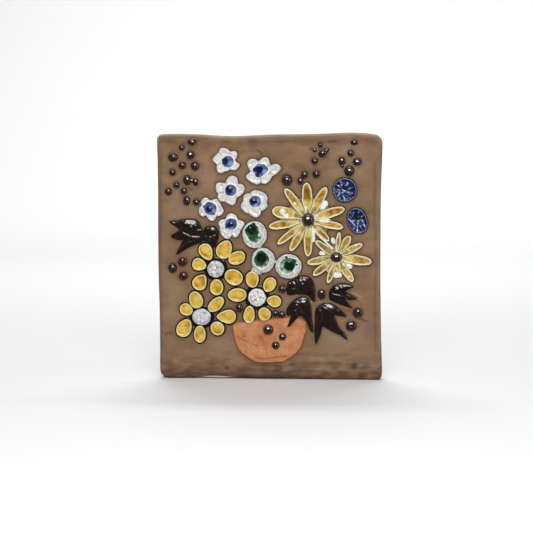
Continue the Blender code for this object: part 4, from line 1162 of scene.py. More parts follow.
greenLook = crackledGlaze | {
    "height": 4.9,
    "roughness": 0.11,
    "patterns": {"drift": (2.4, 3.0, 0.5), "wander": (3.2, 3.0, 0.5)},
    "waves": [(0.40, 2.8, 61), (0.2, 1.3, 71)],
    "pebble": 2.8,
    "seamDepth": 0.35,
    "shoulder": 1.9,
    "poolDepth": 1.6,
    "furrowDepth": 0.35,
    "pitDepth": 0.8,
    "glintHeight": 0.8,
    "runHeight": 3.0,
    "rings": 26,
    "white": [(0.30, "#BDBDB6"), (0.45, "#D6D6D0"), (0.60, "#E8E8E3")],
    "crackSize": 2.8,
    "crack": "#8C8B82",
    "crackDepth": 0.5,
    # hollow: the grey of the painted shade
    "hollow": "#8F9188",
    "ring": "#DDE4DD",
    "edgeWander": 0.6,
    "depthWander": 0.55,
    "pool": [(0.0, "#BCD4C4"), (0.2, "#82A890"), (0.42, "#44724E"), (0.62, "#2A5434"), (0.82, "#15301D"),
             (1.0, "#080E0A")],
    "foot": "#2A1E16",
    "pools": [
        {"cover": [(-19.6, 30.4, 8.3), (-16.8, 24.8, 8.0), (-26.6, 31.4, 1.9), (-18.0, 38.4, 2.2)],
         "base": 0.56,
         "shades": [(-10.2, 26.5, 3.2, 0.02), (-11.6, 31.5, 2.2, 0.10), (-12.5, 19.8, 2.2, 0.15),
                    (-20.6, 22.4, 4.6, 0.64), (-20.2, 32.0, 5.6, 0.95), (-25.8, 31.5, 2.0, 0.85),
                    (-17.6, 37.0, 1.9, 0.80), (-15.6, 29.0, 3.2, 0.86)],
         "glints": [(-22.5, 33.2, 1.2), (-12.0, 29.8, 1.1)]},
        {"cover": [(-8.5, -3.6, 9.0), (-9.4, 2.0, 5.4)], "base": 0.56,
         "shades": [(-1.2, -6.5, 2.0, 0.12), (-6.0, -12.0, 1.8, 0.2), (-14.6, -7.5, 3.0, 0.66),
                    (-8.8, -1.4, 6.0, 0.99), (-8.4, -7.8, 2.4, 0.76)],
         "glints": [(-3.5, -9.0, 1.3), (-6.5, -10.5, 0.8)]},
        {"cover": [(21.6, -10.7, 8.9), (25.0, -8.5, 7.2), (20.7, -0.6, 1.9), (29.9, -5.2, 2.9),
                   (33.2, -9.2, 1.3)],
         "base": 0.36,
         "shades": [(14.8, -10.5, 2.8, 0.14), (18.5, -17.0, 2.8, 0.12), (17.6, -5.0, 2.4, 0.34),
                    (24.3, -10.2, 6.0, 0.96), (29.6, -5.4, 2.8, 0.72), (20.9, -1.4, 1.8, 0.66),
                    (33.0, -9.2, 1.3, 0.7)],
         "glints": [(22.6, -6.4, 1.0), (24.2, -6.9, 1.0), (25.8, -6.2, 0.9)]},
    ],
    # white glaze that ran between the blossoms and down: start, end, radius
    "runs": [
        [((-12.4, 10.9), (-10.2, 12.3), 2.0)],
        [((-17.4, -15.2), (-11.2, -19.4), 2.2), ((6.4, -6.2), (7.6, -6.0), 2.1),
         ((-18.5, -13.5), (-19.5, -17.0), 1.6)],
        [],
    ],
}


def makeGreenBlossom(number, node, pool, material):
    look = greenLook
    outline = roughen(smoothLoop(outlines[node], 0.65), 0.45, 4.0, 50 + number)
    spot = middleOf(node)

    def shape(x, z, edge):
        points = np.column_stack([x, z])
        cover, depth = poolOf(points, pool)
        height = look["height"] * wall(edge, 0.42, look["shoulder"])
        height -= look["poolDepth"] * ease(0.30, 0.85, cover)
        bank = ease(0.5, 0.15, cover)
        pebbles = cells(x, z + 0.8 * lumps(x, z, 3, 55), look["pebble"], 51 + number)[0]
        rough = waves(x, z, look["waves"], number) - look["seamDepth"] * (1 - pebbles) ** 2
        height += rough * ease(-0.2, 1.0, edge) * (0.1 + 0.9 * bank)
        furrow = np.exp(-((edge - 2.6 - 0.6 * lumps(x, z, 5, 81)) / 0.5) ** 2) * bank
        pits = np.clip(lumps(x, z, 1.9, 91 + number) - 0.32, 0, 1) * bank
        height += glints(points, pool["glints"], look["glintHeight"])
        height -= look["furrowDepth"] * furrow + look["pitDepth"] * pits
        # painted shade: grey in the furrow, on the low parts and on the wall at the edge; the pits are
        # darker too
        tone = 0.45 * furrow + 0.40 * np.clip(-rough * 2, 0, 1) * bank
        tone += 1.2 * pits + 0.2 * ease(0.9, 0.0, edge)
        bright = 0.85 * ease(0.02, 0.4, cover)
        return height, np.clip(tone, 0, 0.85), np.column_stack([cover, depth, bright])

    bm = newForm()
    raisePad(bm, outline, (spot, spot), shape, skirts[node], look["rings"])
    for index, (start, end, radius) in enumerate(look["runs"][number]):
        addDrop(bm, start, end, radius, look["runHeight"], 0.0, 95 + index)
    addPiece(node + "_glazed", bm, material, [node])


greenGlaze = makePooledGlaze("crackledWhiteGlazeWithCopperGreen", greenLook)
for number, pool in enumerate(greenLook["pools"]):
    makeGreenBlossom(number, f"green_blossom_{number + 1}", pool, greenGlaze)
print("green blossoms made")

blueLook = {
    "height": 4.9,
    "roughness": 0.07,
    "ior": 1.6,
    "rayStretch": 0.9,
    "rays": (4.5, 4.0, 0.7),
    "patterns": {"blots": (2.6, 4.0, 0.5)},
    "bump": (0.6, 0.7),
    "waver": 0.8,
    "rimBand": (0.1, 0.4, 0.6, 1.1),
    "footBand": (0.1, 0.5, 1.0),
    "shoulder": 1.3,
    "hollow": 1.4,
    "spokes": 3.6,
    "spokeHeight": 0.5,
    "lump": 0.3,
    "runHeight": 0.35,
    "glintHeight": 0.9,
    "rings": 28,
    "blotShare": 0.45,
    "runs": 0.36,
    "glass": [(0.42, "#080D26"), (0.52, "#121B40"), (0.60, "#283A6E"), (0.68, "#5C6FA2"), (0.80, "#A8B4D6"),
              (0.93, "#E8ECF8")],
    "core": "#0A121A",
    "rimColour": "#7785B0",
    "foot": "#0D0B10",
    # the eye that the rays run to, pale runs (points, width, strength), two of which paint in highlights,
    # dark cores (x, z, radius, share) and thick spots that catch the light
    "flowers": [
        {"eye": (89.0, 76.8),
         "runs": [([(81.2, 72.0), (84.5, 75.6), (87.8, 76.2)], 1.3, 1.0),
                  ([(79.5, 69.6), (82.2, 71.4)], 1.0, 0.8),
                  ([(89.6, 65.8), (89.2, 69.6), (87.6, 72.2)], 1.2, 1.0),
                  ([(87.0, 79.6), (90.2, 77.0)], 1.4, 0.9),
                  ([(93.0, 75.2), (97.4, 73.0)], 0.9, 0.6), ([(92.0, 79.5), (99.0, 82.5)], 0.8, 0.5),
                  # these two runs paint in the two highlights at the top of the flower
                  ([(84.6, 89.8), (86.2, 85.0)], 1.2, 0.9), ([(92.8, 89.0), (92.2, 84.8)], 1.2, 0.8),
                  ([(77.5, 79.0), (83.5, 78.6)], 0.8, 0.5), ([(96.5, 67.8), (93.2, 71.6)], 0.8, 0.6),
                  ([(83.5, 66.8), (86.0, 71.0)], 0.8, 0.5), ([(79.5, 85.5), (84.5, 82.0)], 0.8, 0.55)],
         "cores": [(88.6, 82.2, 2.6, 0.5), (94.5, 78.0, 2.2, 0.5), (83.0, 80.4, 2.0, 0.5),
                   (86.5, 69.0, 1.8, 0.6)],
         "glints": [(85.4, 86.4, 1.4), (92.9, 85.7, 1.5), (82.6, 73.4, 1.0)]},
        {"eye": (105.6, 43.4),
         "runs": [([(93.6, 45.8), (97.2, 42.6), (100.8, 38.2)], 1.2, 1.0),
                  ([(104.6, 30.6), (104.8, 39.6)], 1.2, 1.0),
                  ([(108.0, 45.0), (111.0, 41.6), (113.2, 36.4)], 1.1, 0.9),
                  ([(100.2, 57.2), (99.6, 51.4)], 0.9, 0.7),
                  ([(106.8, 58.4), (106.0, 52.6)], 0.8, 0.55), ([(105.6, 42.6), (108.8, 43.8)], 1.5, 0.9),
                  ([(110.4, 32.0), (107.8, 37.2)], 0.8, 0.7), ([(96.4, 38.0), (99.0, 36.4)], 0.9, 0.7),
                  ([(112.6, 50.6), (109.4, 47.6)], 0.8, 0.5), ([(96.6, 53.0), (99.2, 47.6)], 0.8, 0.55),
                  ([(100.4, 32.6), (102.2, 37.6)], 0.8, 0.6)],
         "cores": [(104.0, 47.8, 4.4, 0.9), (108.6, 52.0, 2.4, 0.6), (102.0, 42.4, 2.2, 0.6)],
         "glints": [(99.0, 38.6, 1.0), (100.0, 54.6, 1.0)]},
    ],
}


def makeBlueBlossom(number, node, flower, material):
    look = blueLook
    outline = roughen(smoothLoop(outlines[node], 0.6), 0.5, 7, 80 + number)
    spot = middleOf(node)
    eye = np.array(flower["eye"])
    radius = sizeOf(node).mean() / 2

    def shape(x, z, edge):
        points = np.column_stack([x, z])
        dx, dz = (points - eye).T / radius
        away, angle = np.hypot(dx, dz), np.arctan2(dz, dx)
        height = look["height"] * wall(edge, 0.45, look["shoulder"]) - look["hollow"] * ease(1.2, 4.0, edge)
        spokes = lumps(np.cos(angle) * look["spokes"], np.sin(angle) * look["spokes"], 1.0, 81 + number)
        height += look["spokeHeight"] * spokes * ease(0.8, 2.4, edge) * ease(0.1, 0.5, away)
        height += look["lump"] * lumps(x, z, 3.2, 91 + number) * ease(0.5, 2.5, edge)
        height += glints(points, flower["glints"], look["glintHeight"])
        run = strongest(points, [strength * nearLine(points, line, 0.8 * width)
                                 for line, width, strength in flower["runs"]])
        run *= np.clip(0.85 + 0.9 * lumps(x, z, 2.2, 85 + number), 0, 1)
        core = strongest(points, [share * patch(points, spotX, spotZ, size, 1.3)
                                  for spotX, spotZ, size, share in flower["cores"]])
        height += look["runHeight"] * run
        return height, run, np.column_stack([dx, dz, core * (1 - run)])

    bm = newForm()
    raisePad(bm, outline, (spot, spot), shape, skirts[node], look["rings"])
    addPiece(node + "_glazed", bm, material, [node])


blueGlaze = makeStreakedGlaze("streakedCobaltGlass", blueLook)
for number, flower in enumerate(blueLook["flowers"]):
    makeBlueBlossom(number, f"blue_blossom_{number + 1}", flower, blueGlaze)
print("blue blossoms made")

starLook = {
    "height": 4.6,
    "webHeight": 3.0,
    "petalSide": [(0.10, 0.60), (0.30, 0.90), (0.50, 1.05), (0.66, 1.0), (0.84, 0.86), (0.95, 0.54),
                  (1.0, 0.0)],
    "roughness": 0.10,
    "ior": 1.6,
    "bump": (0.35, 0.5),
    "patterns": {"cloud": (5.0, 5.0, 0.65)},
    "torn": (1.6, -0.8),
    "patchEdge": (0.35, 0.75),
    "shoulder": 0.85,
    "hollow": 1.1,
    "crackDepth": 0.5,
    "webInset": 0.7,
    "shortPooled": 0.4,
    "rings": 8,
    "depth": 0.38,
    "honey": [(0.02, "#76501A"), (0.13, "#916A24"), (0.25, "#AC8732"), (0.37, "#C2A452"), (0.49, "#D2BA6C"),
              (0.64, "#E1D096")],
    "waver": 0.5,
    "rim": (0.7, 2.7),
    "cream": "#E6DCB2",
    # groove: the brown of the cracks, and of the painted shade between the petals
    "groove": "#4A3010",
    "patch": "#F1EFE7",
    "footBand": (-0.10, 0.22, 1.0),
    "foot": "#2C1B0E",
    # for each flower, from its left-most tip round by the bottom: how far the glaze pooled in each
    # petal; then petals too short for the outline (angle, reach, half width), pools (x, z, radius,
    # share), dark cracks (points, width, share), white spots (x, z, radius), some of them painted
    # highlights, glints and white drops
    "flowers": [
        {"pooled": [0.75, 0.8, 0.65, 0.8, 0.95, 0.55, 0.85, 0.75, 1.0, 0.7, 0.45],
         "short": [],
         "pools": [(23.4, 76.5, 3.4, 0.8), (66.0, 35.0, 3.6, 0.5), (78.5, 56.5, 4.0, 0.9),
                   (63.5, 76.0, 3.6, 0.85),
                   (10.0, 52.0, 3.0, 0.5), (16.0, 38.3, 2.4, 0.9), (45.9, 20.0, 3.0, 0.9)],
         "cracks": [([(12.5, 43.4), (24.0, 43.7), (36.8, 43.8)], 0.55, 0.9),
                    ([(45.0, 79.0), (45.6, 72.0)], 0.9, 0.6),
                    ([(64.8, 26.6), (69.0, 21.4)], 1.2, 0.65), ([(61.0, 38.6), (66.0, 35.2)], 0.6, 0.7)],
         # the first two white spots paint in highlights
         "whitesAndHighlights": [(16.5, 53.6, 4.0), (20.5, 49.0, 3.5), (30.5, 63.5, 2.4), (56.0, 48.8, 2.4),
                    (43.6, 58.6, 2.0)],
         "ring": 9.6,
         "glints": [(16.3, 54.9, 1.2), (17.2, 50.2, 1.3), (28.4, 12.9, 1.0), (31.5, 67.0, 0.9),
                    (66.4, 56.6, 0.8),
                    (20.0, 25.6, 0.8), (24.6, 73.0, 0.9)],
         "drops": [((62.8, 58.8), (66.0, 62.6), 4.3, 4.2), ((61.5, 44.0), (69.5, 43.4), 3.7, 4.1),
                   ((51.8, 33.0), (52.4, 19.5), 2.6, 4.0), ((53.0, 31.6), (75.0, 10.2), 1.5, 4.2)]},
        {"pooled": [0.7, 0.95, 0.9, 0.5, 0.7, 0.45, 0.7, 1.0, 0.9],
         "short": [(-80.5, 20.0, 3.4)],
         "pools": [(53.0, -5.0, 3.0, 0.6), (92.4, 21.6, 2.6, 0.9), (81.6, 18.0, 2.8, 0.8),
                   (110.0, -3.5, 3.0, 0.7)],
         "cracks": [([(60.0, 16.4), (62.2, 14.4)], 1.1, 0.7), ([(59.0, -17.6), (62.4, -14.6)], 1.1, 0.6),
                    ([(71.2, -26.4), (72.6, -21.0)], 1.1, 0.7), ([(81.6, 20.5), (81.4, 15.5)], 1.0, 0.45)],
         # the spots at (95, -23) and (103, 14.5) paint in highlights
         "whitesAndHighlights": [(70.0, -16.0, 2.2), (72.6, -22.6, 1.1), (95.0, -23.0, 1.8), (89.0, -8.0, 3.0),
                    (103.0, 14.5, 2.2)],
         "ring": 8.2,
         "glints": [(95.0, -23.0, 1.1), (104.5, 15.6, 0.9), (92.0, 24.0, 0.8), (62.5, -15.5, 0.9),
                    (66.0, 10.6, 0.8)],
         "drops": [((62.0, 4.4), (64.4, 4.0), 2.8, 3.6), ((78.6, -20.8), (82.8, -20.8), 4.2, 3.9),
                   ((95.4, -10.6), (93.6, -9.8), 3.8, 3.8), ((75.6, 20.5), (76.4, 17.6), 2.6, 3.4)]},
    ],
}


def marksOn(points, flower, eye):
    # the amber pools, the dark cracks and the white spots of a star flower, each 0 to 1
    pools = [share * patch(points, x, z, radius, 1.6) for x, z, radius, share in flower["pools"]]
    cracks = [share * nearLine(points, line, width) for line, width, share in flower["cracks"]]
    away = np.hypot(*(points - eye).T)
    whitesAndHighlights = [0.42 * ease(flower["ring"] + 2.2, flower["ring"] - 0.4, away)]
    whitesAndHighlights += [0.75 * patch(points, x, z, radius, 1.8) for x, z, radius in flower["whitesAndHighlights"]]
    return [strongest(points, marks) for marks in (pools, cracks, whitesAndHighlights)]


def starPetals(node, eye):
    # the tips of a star flower as the CAD has them: axis, reach, half width, the angles to the
    # notches at its two sides, and how far out those lie
    cad = outlines[node]
    tips, notches = tipsAndNotches(cad, eye)
    angle = np.arctan2(*(cad - eye).T[::-1])
    found = []
    for tip in sorted(tips, key=lambda i: angle[i]):
        before, after = beside(notches, tip)
        count = (after - before) % len(cad)
        reach = np.hypot(*(cad[tip] - eye))
        axis = (cad[tip] - eye) / reach
        span = cad[[(before + k) % len(cad) for k in range(1, count)]]
        half = np.abs((span - eye) @ (-axis[1], axis[0])).max()
        spread = [abs((angle[i] - angle[tip] + math.pi) % (2 * math.pi) - math.pi) for i in (before, after)]
        notch = np.hypot(*(cad[[before, after]] - eye).T).mean()
        found.append((axis, reach, half, spread, notch))
    return found


def makeStar(number, node, flower, material):
    look = starLook
    eye = middleOf(f"star_centre_{number + 1}")
    petals = [(*petal, pooled) for petal, pooled in zip(starPetals(node, eye), flower["pooled"])]
    for degrees, reach, half in flower["short"]:
        turn = math.radians(degrees)
        axis = np.array([math.cos(turn), math.sin(turn)])
        petals.append((axis, reach, half, [0.5, 0.5], reach, look["shortPooled"]))
    bm = newForm()

    # the web of clay that joins the petals, in the whole flower's outline
    web = growLoop(smoothLoop(outlines[node], 0.8), -look["webInset"])

    def webShape(x, z, edge):
        points = np.column_stack([x, z])
        height = look["webHeight"] * wall(edge, 0.5, 1.4) + 0.15 * lumps(x, z, 3, 101)
        pools, cracks, whitesAndHighlights = marksOn(points, flower, eye)
        inner = ease(4.0, 1.0, edge)
        # the web takes the groove's brown, most towards its edge at the petals' feet: painted shade between
        # the petals
        return height, whitesAndHighlights, np.column_stack([0.5 * inner + 0.5 * pools, 0.5 + 0.3 * inner, 0 * x])

    raisePad(bm, web, (eye, eye), webShape, skirts[node], look["rings"])

    for index, (axis, reach, half, spread, notch, pooled) in enumerate(petals):
        side = np.array([-axis[1], axis[0]])
        share, width = np.array(look["petalSide"]).T
        out = share * reach
        rows = []
        for hand, wide in zip((-1, 1), spread):
            limit = np.minimum(half * width, out * math.tan(min(wide, 0.7)) * 1.04)
            rows.append(eye + out[:, None] * axis + hand * limit[:, None] * side)
        seed = 110 + 20 * number + index
        outline = roughen(smoothLoop(np.vstack([rows[0], rows[1][-2::-1]]), 0.6), 0.25, 4.5, seed)
        spine = (eye + axis * 6.0, eye + axis * (reach - half * 1.05))
        lift = 0.28 * math.sin(seed * 2.4)

        def petalShape(x, z, edge):
            points = np.column_stack([x, z])
            out = (points - eye) @ axis
            along = out / reach
            height = (look["height"] + lift - 0.7 * ease(22, 8, out)) * wall(edge, 0.5, look["shoulder"])
            height -= look["hollow"] * ease(0.7, 2.1, edge)
            height += 0.2 * lumps(x, z, 3.2, seed) * ease(0, 1.2, edge) + glints(points, flower["glints"])
            pools, cracks, whitesAndHighlights = marksOn(points, flower, eye)
            amber = pooled * ease(0.40, 0.60, along) * ease(1.0, 0.86, along) * ease(0.9, 2.2, edge)
            # darker along the petal's edge near the notches, where it meets its neighbours: painted shade
            groove = 0.8 * ease(1.0, 0.3, edge) * ease(notch + 1.5, notch - 3.5, out) * ease(6.0, 9.0, out)
            height -= look["crackDepth"] * cracks
            thick, dark = np.maximum(amber, pools * ease(0.6, 1.6, edge)), np.maximum(groove, cracks)
            return height, whitesAndHighlights * ease(0.4, 1.2, edge), np.column_stack([thick, dark, 0 * x])

        raisePad(bm, outline, spine, petalShape, skirts[node], look["rings"])
    for index, (start, end, radius, height) in enumerate(flower["drops"]):
        addDrop(bm, start, end, radius, height, 1.0, 180 + 10 * number + index)
    addPiece(node + "_glazed", bm, material, [node])


amberGlaze = makeRimmedGlaze("amberGlazeOverCreamSlip", starLook)
for number, flower in enumerate(starLook["flowers"]):
    makeStar(number, f"star_flower_{number + 1}", flower, amberGlaze)
print("star flowers made")

daisyLook = {
    "height": 4.35,
    "roughness": 0.09,
    "ior": 1.6,
    "bump": (0.35, 0.5),
    "patterns": {"cloud": (6.5, 5.0, 0.65)},
    "torn": (1.6, -0.8),
    "patchEdge": (0.35, 0.75),
    "shoulder": 0.9,
    "hollow": 1.15,
    "rings": 9,
    "depth": 0.34,
    "honey": [(0.06, "#8E6418"), (0.20, "#AC8124"), (0.34, "#C79E3A"), (0.48, "#D9B550"), (0.62, "#E2C366"),
              (0.80, "#E8D28A")],
    "waver": 0.7,
    "rim": (0.45, 1.5),
    "cream": "#E6DAA2",
    "groove": "#6A430F",
    "patch": "#F6F1DC",
    "footBand": (-0.15, 0.25, 1.0),
    "foot": "#170E0A",
    # white patches: three of them paint in highlights; the one at (-17.1, -17.2) is a drip of white glaze
    "whitesAndHighlights": [(-45.8, -15.8, 2.0), (-74.5, -10.0, 1.6), (-60.1, -78.9, 2.0), (-17.1, -17.2, 2.4)],
    "glints": [(-53.6, -74.2, 1.4), (-6.2, -68.3, 1.3), (-45.8, -15.6, 1.2), (-60.2, -79.0, 1.2),
               (-17.1, -17.6, 1.3),
               (-74.5, -10.0, 1.0), (-84.2, -46.0, 1.0), (-71.0, 2.5, 1.1), (-36.5, -47.5, 1.0)],
    "underCentre": (3.6, 0.7),  # how far the dark glaze reaches round a centre, and how thick it lies
}
centreLook = {
    "height": 5.5,
    "roughness": 0.15,
    "ior": 1.58,
    "bump": (0.35, 0.4),
    "patterns": {"speck": (1.2, 3.0, 0.5)},
    "speckShare": 0.5,
    "footBand": (-0.15, 0.3, 1.0),
    "shoulder": 4.5,
    "skirt": 0.7,
    "rings": 24,
    "white": [(0.0, "#77776F"), (0.22, "#A3A29C"), (0.50, "#D3D1CD"), (0.85, "#F1F0EE")],
    "foot": "#211813",
    # for each daisy: size of the lumps, how far they sink between them, how grey their gaps are painted as
    # shade, the tint, how far the border stands up, and ridges pinched across it (from and to, from its
    # middle)
    "centres": [
        {"lump": 4.2, "sink": 1.5, "share": 0.95, "tint": 0.35, "border": 0.3, "ridges": []},
        {"lump": 3.7, "sink": 1.3, "share": 0.75, "tint": 0.55, "border": 0.2, "ridges": []},
        {"lump": 4.0, "sink": 1.5, "share": 1.05, "tint": 0.05, "border": 0.9,
         "ridges": [((-6.5, -2.0), (6.0, 3.5)), ((-3.0, 6.5), (2.5, -6.5))]},
    ],
    "tint": "#D5D3EA",
}


def makeDaisy(number, nodes, centre, material):
    look = daisyLook
    bm = newForm()
    reach, thick = look["underCentre"]
    under = roughen(smoothLoop(outlines[centre], 0.8), 0.5, 5, 190 + number, reach)
    spot = middleOf(centre)

    def glazeShape(x, z, edge):
        return thick * wall(edge, 0.3, 2.0) + 0.1 * lumps(x, z, 3, 195), 0, None

    raisePad(bm, under, (spot, spot), glazeShape, 0.8, inner=6, allFoot=True)
    for index, node in enumerate(nodes):
        seed = 200 + 20 * number + index
        outline = roughen(smoothLoop(outlines[node], 0.65), 0.35, 6, seed)
        values, axes = np.linalg.eigh(np.cov(outline.T))
        long = axes[:, 1] * max(0.0, math.sqrt(2 * values[1]) - math.sqrt(2 * values[0]))
        middle = outline.mean(0)

        def petalShape(x, z, edge):
            points = np.column_stack([x, z])
            height = (look["height"] + 0.25 * lumps(x, z, 9, seed)) * wall(edge, 0.45, look["shoulder"])
            height -= look["hollow"] * ease(0.9, 3.0, edge)
            height += 0.22 * lumps(x, z, 4, seed + 1) * ease(0, 1.5, edge) + glints(points, look["glints"])
            thick = np.clip(0.15 + 1.3 * lumps(x, z, 8.5, seed + 2), 0, 1) * ease(1.0, 3.0, edge)
            blots = 0.8 * np.clip(lumps(x, z, 3.4, seed + 3) - 0.25, 0, 1)
            thick = np.maximum(thick, blots * ease(0.5, 2.0, edge))
            # painted highlights, and one drip of white glaze
            white = strongest(points, [0.9 * patch(points, spotX, spotZ, radius, 1.2)
                                       for spotX, spotZ, radius in look["whitesAndHighlights"]])
            return height, white, np.column_stack([thick, 0 * x, 0 * x])

        raisePad(bm, outline, (middle - long, middle + long), petalShape, skirts[node], look["rings"])
    addPiece(f"daisy_{number + 1}_petals", bm, material, nodes)


def makeDaisyCentre(number, node, button, material):
    look = centreLook
    outline = roughen(smoothLoop(outlines[node], 0.5), 0.5, 2.6, 300 + number, -0.1)
    spot = middleOf(node)

    def shape(x, z, edge):
        points = np.column_stack([x, z])
        bend = 0.9 * lumps(x, z, 3.2, 320 + number)
        gaps, domes = cells(x + bend, z - bend, button["lump"], 3 + number)
        pebble = domes * (0.45 + 0.55 * gaps)
        pebble = np.maximum(pebble, button["border"] * np.exp(-((edge - 1.5) / 1.0) ** 2))
        for start, end in button["ridges"]:
            pebble = np.maximum(pebble, 0.95 * nearLine(points, [spot + start, spot + end], 1.1))
        height = look["height"] * wall(edge, 0.35, look["shoulder"])
        height -= button["sink"] * (1 - pebble) * ease(-0.4, 1.2, edge)
        height += 0.25 * lumps(x, z, 3.5, 310 + number)
        # painted light and shade: bright on the tops of the lumps, grey in the gaps between them
        lightness = 1 - button["share"] * (1 - pebble)
        tint = np.clip(button["tint"] + 0.3 * lumps(x, z, 4, 330 + number), 0, 1)
        return height, np.clip(lightness, 0, 1), np.column_stack([tint, 0 * x, 0 * x])

    bm = newForm()
    raisePad(bm, outline, (spot, spot), shape, look["skirt"], look["rings"])
    addPiece(node + "_glazed", bm, material, [node])


honeyGlaze = makeRimmedGlaze("honeyGlazeOverCreamSlip", daisyLook)
lumpGlaze = makeLumpGlaze(centreLook)
for number, nodes in enumerate(daisyNodes):
    centre = f"daisy_{number + 1}_centre"
    makeDaisy(number, nodes, centre, honeyGlaze)
    makeDaisyCentre(number, centre, centreLook["centres"][number], lumpGlaze)
print("daisies made")

leafLook = {
    "height": 4.5,
    "roughness": 0.11,
    "ior": 1.62,
    "bump": (0.22, 0.4),
    "patterns": {"cloud": (4.5, 5.0, 0.65)},
    "waves": [(0.30, 8, 400), (0.14, 3, 410)],
    "shoulder": 1.9,
    "glintHeight": 0.8,
    "veinWidth": 0.6,
    "veinDepth": 0.45,
    "rings": 24,
    "body": [(0.32, "#100905"), (0.47, "#190F09"), (0.60, "#261810"), (0.76, "#382616")],
    "thinBand": (-0.2, 0.8, 0.55),
    "thin": "#4A3524",
    "toned": "#4C3A26",
    "veins": {
        "right_leaf_2": [[(30.0, -50.5), (33.5, -55.5), (38.0, -61.0), (41.0, -66.0)],
                         [(33.3, -58.2), (33.0, -70.0)]],
        "right_leaf_3": [[(60.5, -60.0), (63.0, -69.0), (62.0, -78.0)],
                         [(66.0, -58.0), (73.0, -64.0), (80.0, -70.0)],
                         [(57.5, -70.0), (57.0, -88.0)]],
        "right_leaf_1": [[(24.0, -38.0), (32.0, -37.0), (40.0, -43.0)]],
        "right_leaf_4": [[(76.0, -43.0), (84.0, -44.5), (91.0, -48.0)]],
        "left_leaf_outer": [[(-83.0, 24.0), (-92.0, 24.5), (-104.0, 30.0)],
                            [(-86.0, 20.0), (-97.0, 17.0), (-105.0, 9.0)]],
        "left_leaf_inner": [[(-75.0, 24.5), (-69.0, 24.0), (-64.0, 26.0)]],
    },
    "glints": {
        "right_leaf_1": [(23.8, -31.6, 1.0), (28.0, -31.4, 1.1), (39.9, -32.6, 1.5), (35.7, -39.7, 1.1)],
        "right_leaf_2": [(32.7, -54.0, 1.1), (33.3, -58.2, 1.1), (31.0, -64.5, 0.9)],
        "right_leaf_3": [(61.9, -59.4, 1.2), (70.5, -60.5, 0.9)],
        "right_leaf_4": [(79.1, -38.6, 1.7), (88.5, -36.0, 1.0)],
        "left_leaf_outer": [(-92.8, 34.7, 1.3), (-83.7, 30.1, 1.1), (-100.0, 39.0, 1.0)],
        "left_leaf_inner": [(-69.6, 32.5, 1.3), (-66.0, 23.1, 1.1), (-70.8, 19.0, 1.0)],
    },
}


def seenFrom(outline):
    # a point well inside that all of the outline can be seen from
    ahead = np.roll(outline, -1, 0) - outline
    inward = np.column_stack([-ahead[:, 1], ahead[:, 0]]) / np.hypot(*ahead.T)[:, None]
    rows = [np.linspace(low, high, 48) for low, high in zip(outline.min(0), outline.max(0))]
    grid = np.column_stack([g.ravel() for g in np.meshgrid(*rows)])
    depth = (grid @ inward.T - np.sum(outline * inward, 1)).min(1)
    return grid[np.argmax(depth)]


def makeLeaf(number, node, material):
    look = leafLook
    outline = smoothLoop(outlines[node], 0.6)
    spot = seenFrom(outlines[node])

    def shape(x, z, edge):
        points = np.column_stack([x, z])
        crown = 0.25 * ease(0.5, 7.5, edge)
        height = look["height"] * (0.3 + 0.45 * roundOver(edge, look["shoulder"]) + crown)
        height += waves(x, z, look["waves"], number) * ease(0, 1.5, edge)
        height += glints(points, look["glints"][node], look["glintHeight"])
        vein = strongest(points, [nearLine(points, line, look["veinWidth"]) for line in look["veins"][node]])
        return height - look["veinDepth"] * vein, 0.4 * vein, None

    bm = newForm()
    raisePad(bm, outline, (spot, spot), shape, skirts[node], look["rings"])
    addPiece(node + "_glazed", bm, material, [node])


leafGlaze = makeDarkGlaze("blackBrownLeafGlaze", leafLook)
for number, node in enumerate(leafNodes):
    makeLeaf(number, node, leafGlaze)
print("leaves made")

studioLook = {  # metres
    "paper": "#F1F1F2",
    "roughness": 0.6,
    "ior": 1.45,
    "specular": 0.2,
    "width": 3.2,
    "front": -1.1,
    "cove": 1.0,
    "back": 3.6,
    "top": 2.6,
    "coveSteps": 12,
    "air": 0.10,  # light from all round
    "seenAir": 0.88,
    "lens": 132.8,
    "sensor": 36,
    "cameraAway": 2.345,
    "cameraHeight": 0.1715,
    "cameraTurn": 4.0,  # degrees to the plaque's right
    "target": (-0.003, -0.022, -0.0118),
    # name: place, target, width and height, watts, degrees that its grid lets through, colour
    "lights": {
        "key_softbox": ((0.12, -1.6, 0.88), (0, 0, 0), (0.95, 0.72), 8.6, 110, "#FFFFFF"),
        "side_strip": ((1.2, -0.4, 0.2), (0.1, 0, 0), (0.2, 0.9), 1.5, 180, "#E8ECFF"),
        "backdrop_light": ((0.0, 2.2, 2.9), (0, 3.0, 0.0), (3.4, 0.9), 95, 180, "#FFFFFF"),
        "floor_fill": ((0.0, -0.8, 2.3), (0, -0.4, -0.15), (2.4, 1.6), 12, 180, "#FFFFFF"),
        "back_fill": ((-0.3, 1.7, 1.5), (0, 0, 0), (1.2, 0.9), 5, 120, "#FFFFFF"),
    },
}


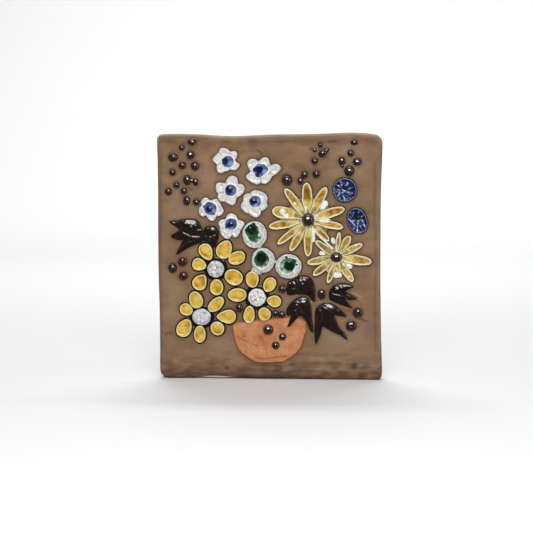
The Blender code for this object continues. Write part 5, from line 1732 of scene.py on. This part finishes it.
def makeStudio(look):
    # a matte paper sweep: a pale floor that curves up into the wall
    parts = newMaterial("matteBackgroundPaper", look)
    parts.shader.inputs["Base Color"].default_value = toLinear(look["paper"])
    floorZ, cove = cadBounds[0].z, look["cove"]
    bm = bmesh.new()
    edge = bm.edges.new([bm.verts.new((side * look["width"], look["front"], floorZ)) for side in (-1, 1)])
    turns = [math.pi / 2 * i / look["coveSteps"] for i in range(look["coveSteps"] + 1)]
    steps = [(look["back"] - cove + cove * math.sin(a), floorZ + cove * (1 - math.cos(a))) for a in turns]
    for y, z in steps + [(look["back"], floorZ + look["top"])]:
        made = bmesh.ops.extrude_edge_only(bm, edges=[edge])["geom"]
        fresh = {item for item in made if isinstance(item, bmesh.types.BMVert)}
        for vert in fresh:
            vert.co.y, vert.co.z = y, z
        edge = next(e for e in made if isinstance(e, bmesh.types.BMEdge) and fresh.issuperset(e.verts))
    bmesh.ops.recalc_face_normals(bm, faces=bm.faces)
    data = bpy.data.meshes.new("studio_floor")
    bm.to_mesh(data)
    bm.free()
    data.shade_smooth()
    data.materials.append(parts.material)
    floor = bpy.data.objects.new("studio_floor", data)
    floor.visible_glossy = False  # the glazes mirror a dark studio and its lamps, not the paper
    bpy.context.scene.collection.objects.link(floor)


def addSoftbox(name, place, target, size, power, spread, colour):
    lamp = bpy.data.lights.new(name, "AREA")
    lamp.shape, lamp.size, lamp.size_y = "RECTANGLE", size[0], size[1]
    lamp.energy, lamp.spread = power, math.radians(spread)
    lamp.color = toLinear(colour)[:3]
    box = bpy.data.objects.new(name, lamp)
    box.location = place
    box.rotation_euler = (Vector(target) - Vector(place)).to_track_quat("-Z", "Y").to_euler()
    bpy.context.scene.collection.objects.link(box)


makeStudio(studioLook)
for name, light in studioLook["lights"].items():
    addSoftbox(name, *light)

world = bpy.data.worlds.new("studio_air")
world.use_nodes = True
bpy.context.scene.world = world
# seen directly, the air behind the paper is as pale as the paper
airTree = world.node_tree
airTree.nodes["Background"].inputs["Color"].default_value = toLinear("#FFFFFF")
seenDirectly = addNode(airTree, "LightPath")
paleness = addNode(airTree, "MapRange", {"Value": seenDirectly, "To Min": studioLook["air"],
                                         "To Max": studioLook["seenAir"]})
airTree.links.new(paleness, airTree.nodes["Background"].inputs["Strength"])
bpy.context.scene.view_settings.view_transform = "Standard"

lens = bpy.data.cameras.new("photo_camera")
lens.lens = studioLook["lens"]
lens.sensor_width = studioLook["sensor"]
camera = bpy.data.objects.new("photo_camera", lens)
turn = math.radians(studioLook["cameraTurn"])
camera.location = Vector((math.sin(turn), -math.cos(turn), 0)) * studioLook["cameraAway"]
camera.location.z = studioLook["cameraHeight"]
camera.rotation_euler = (Vector(studioLook["target"]) - camera.location).to_track_quat("-Z", "Y").to_euler()
bpy.context.scene.collection.objects.link(camera)
bpy.context.scene.camera = camera
print("studio made")
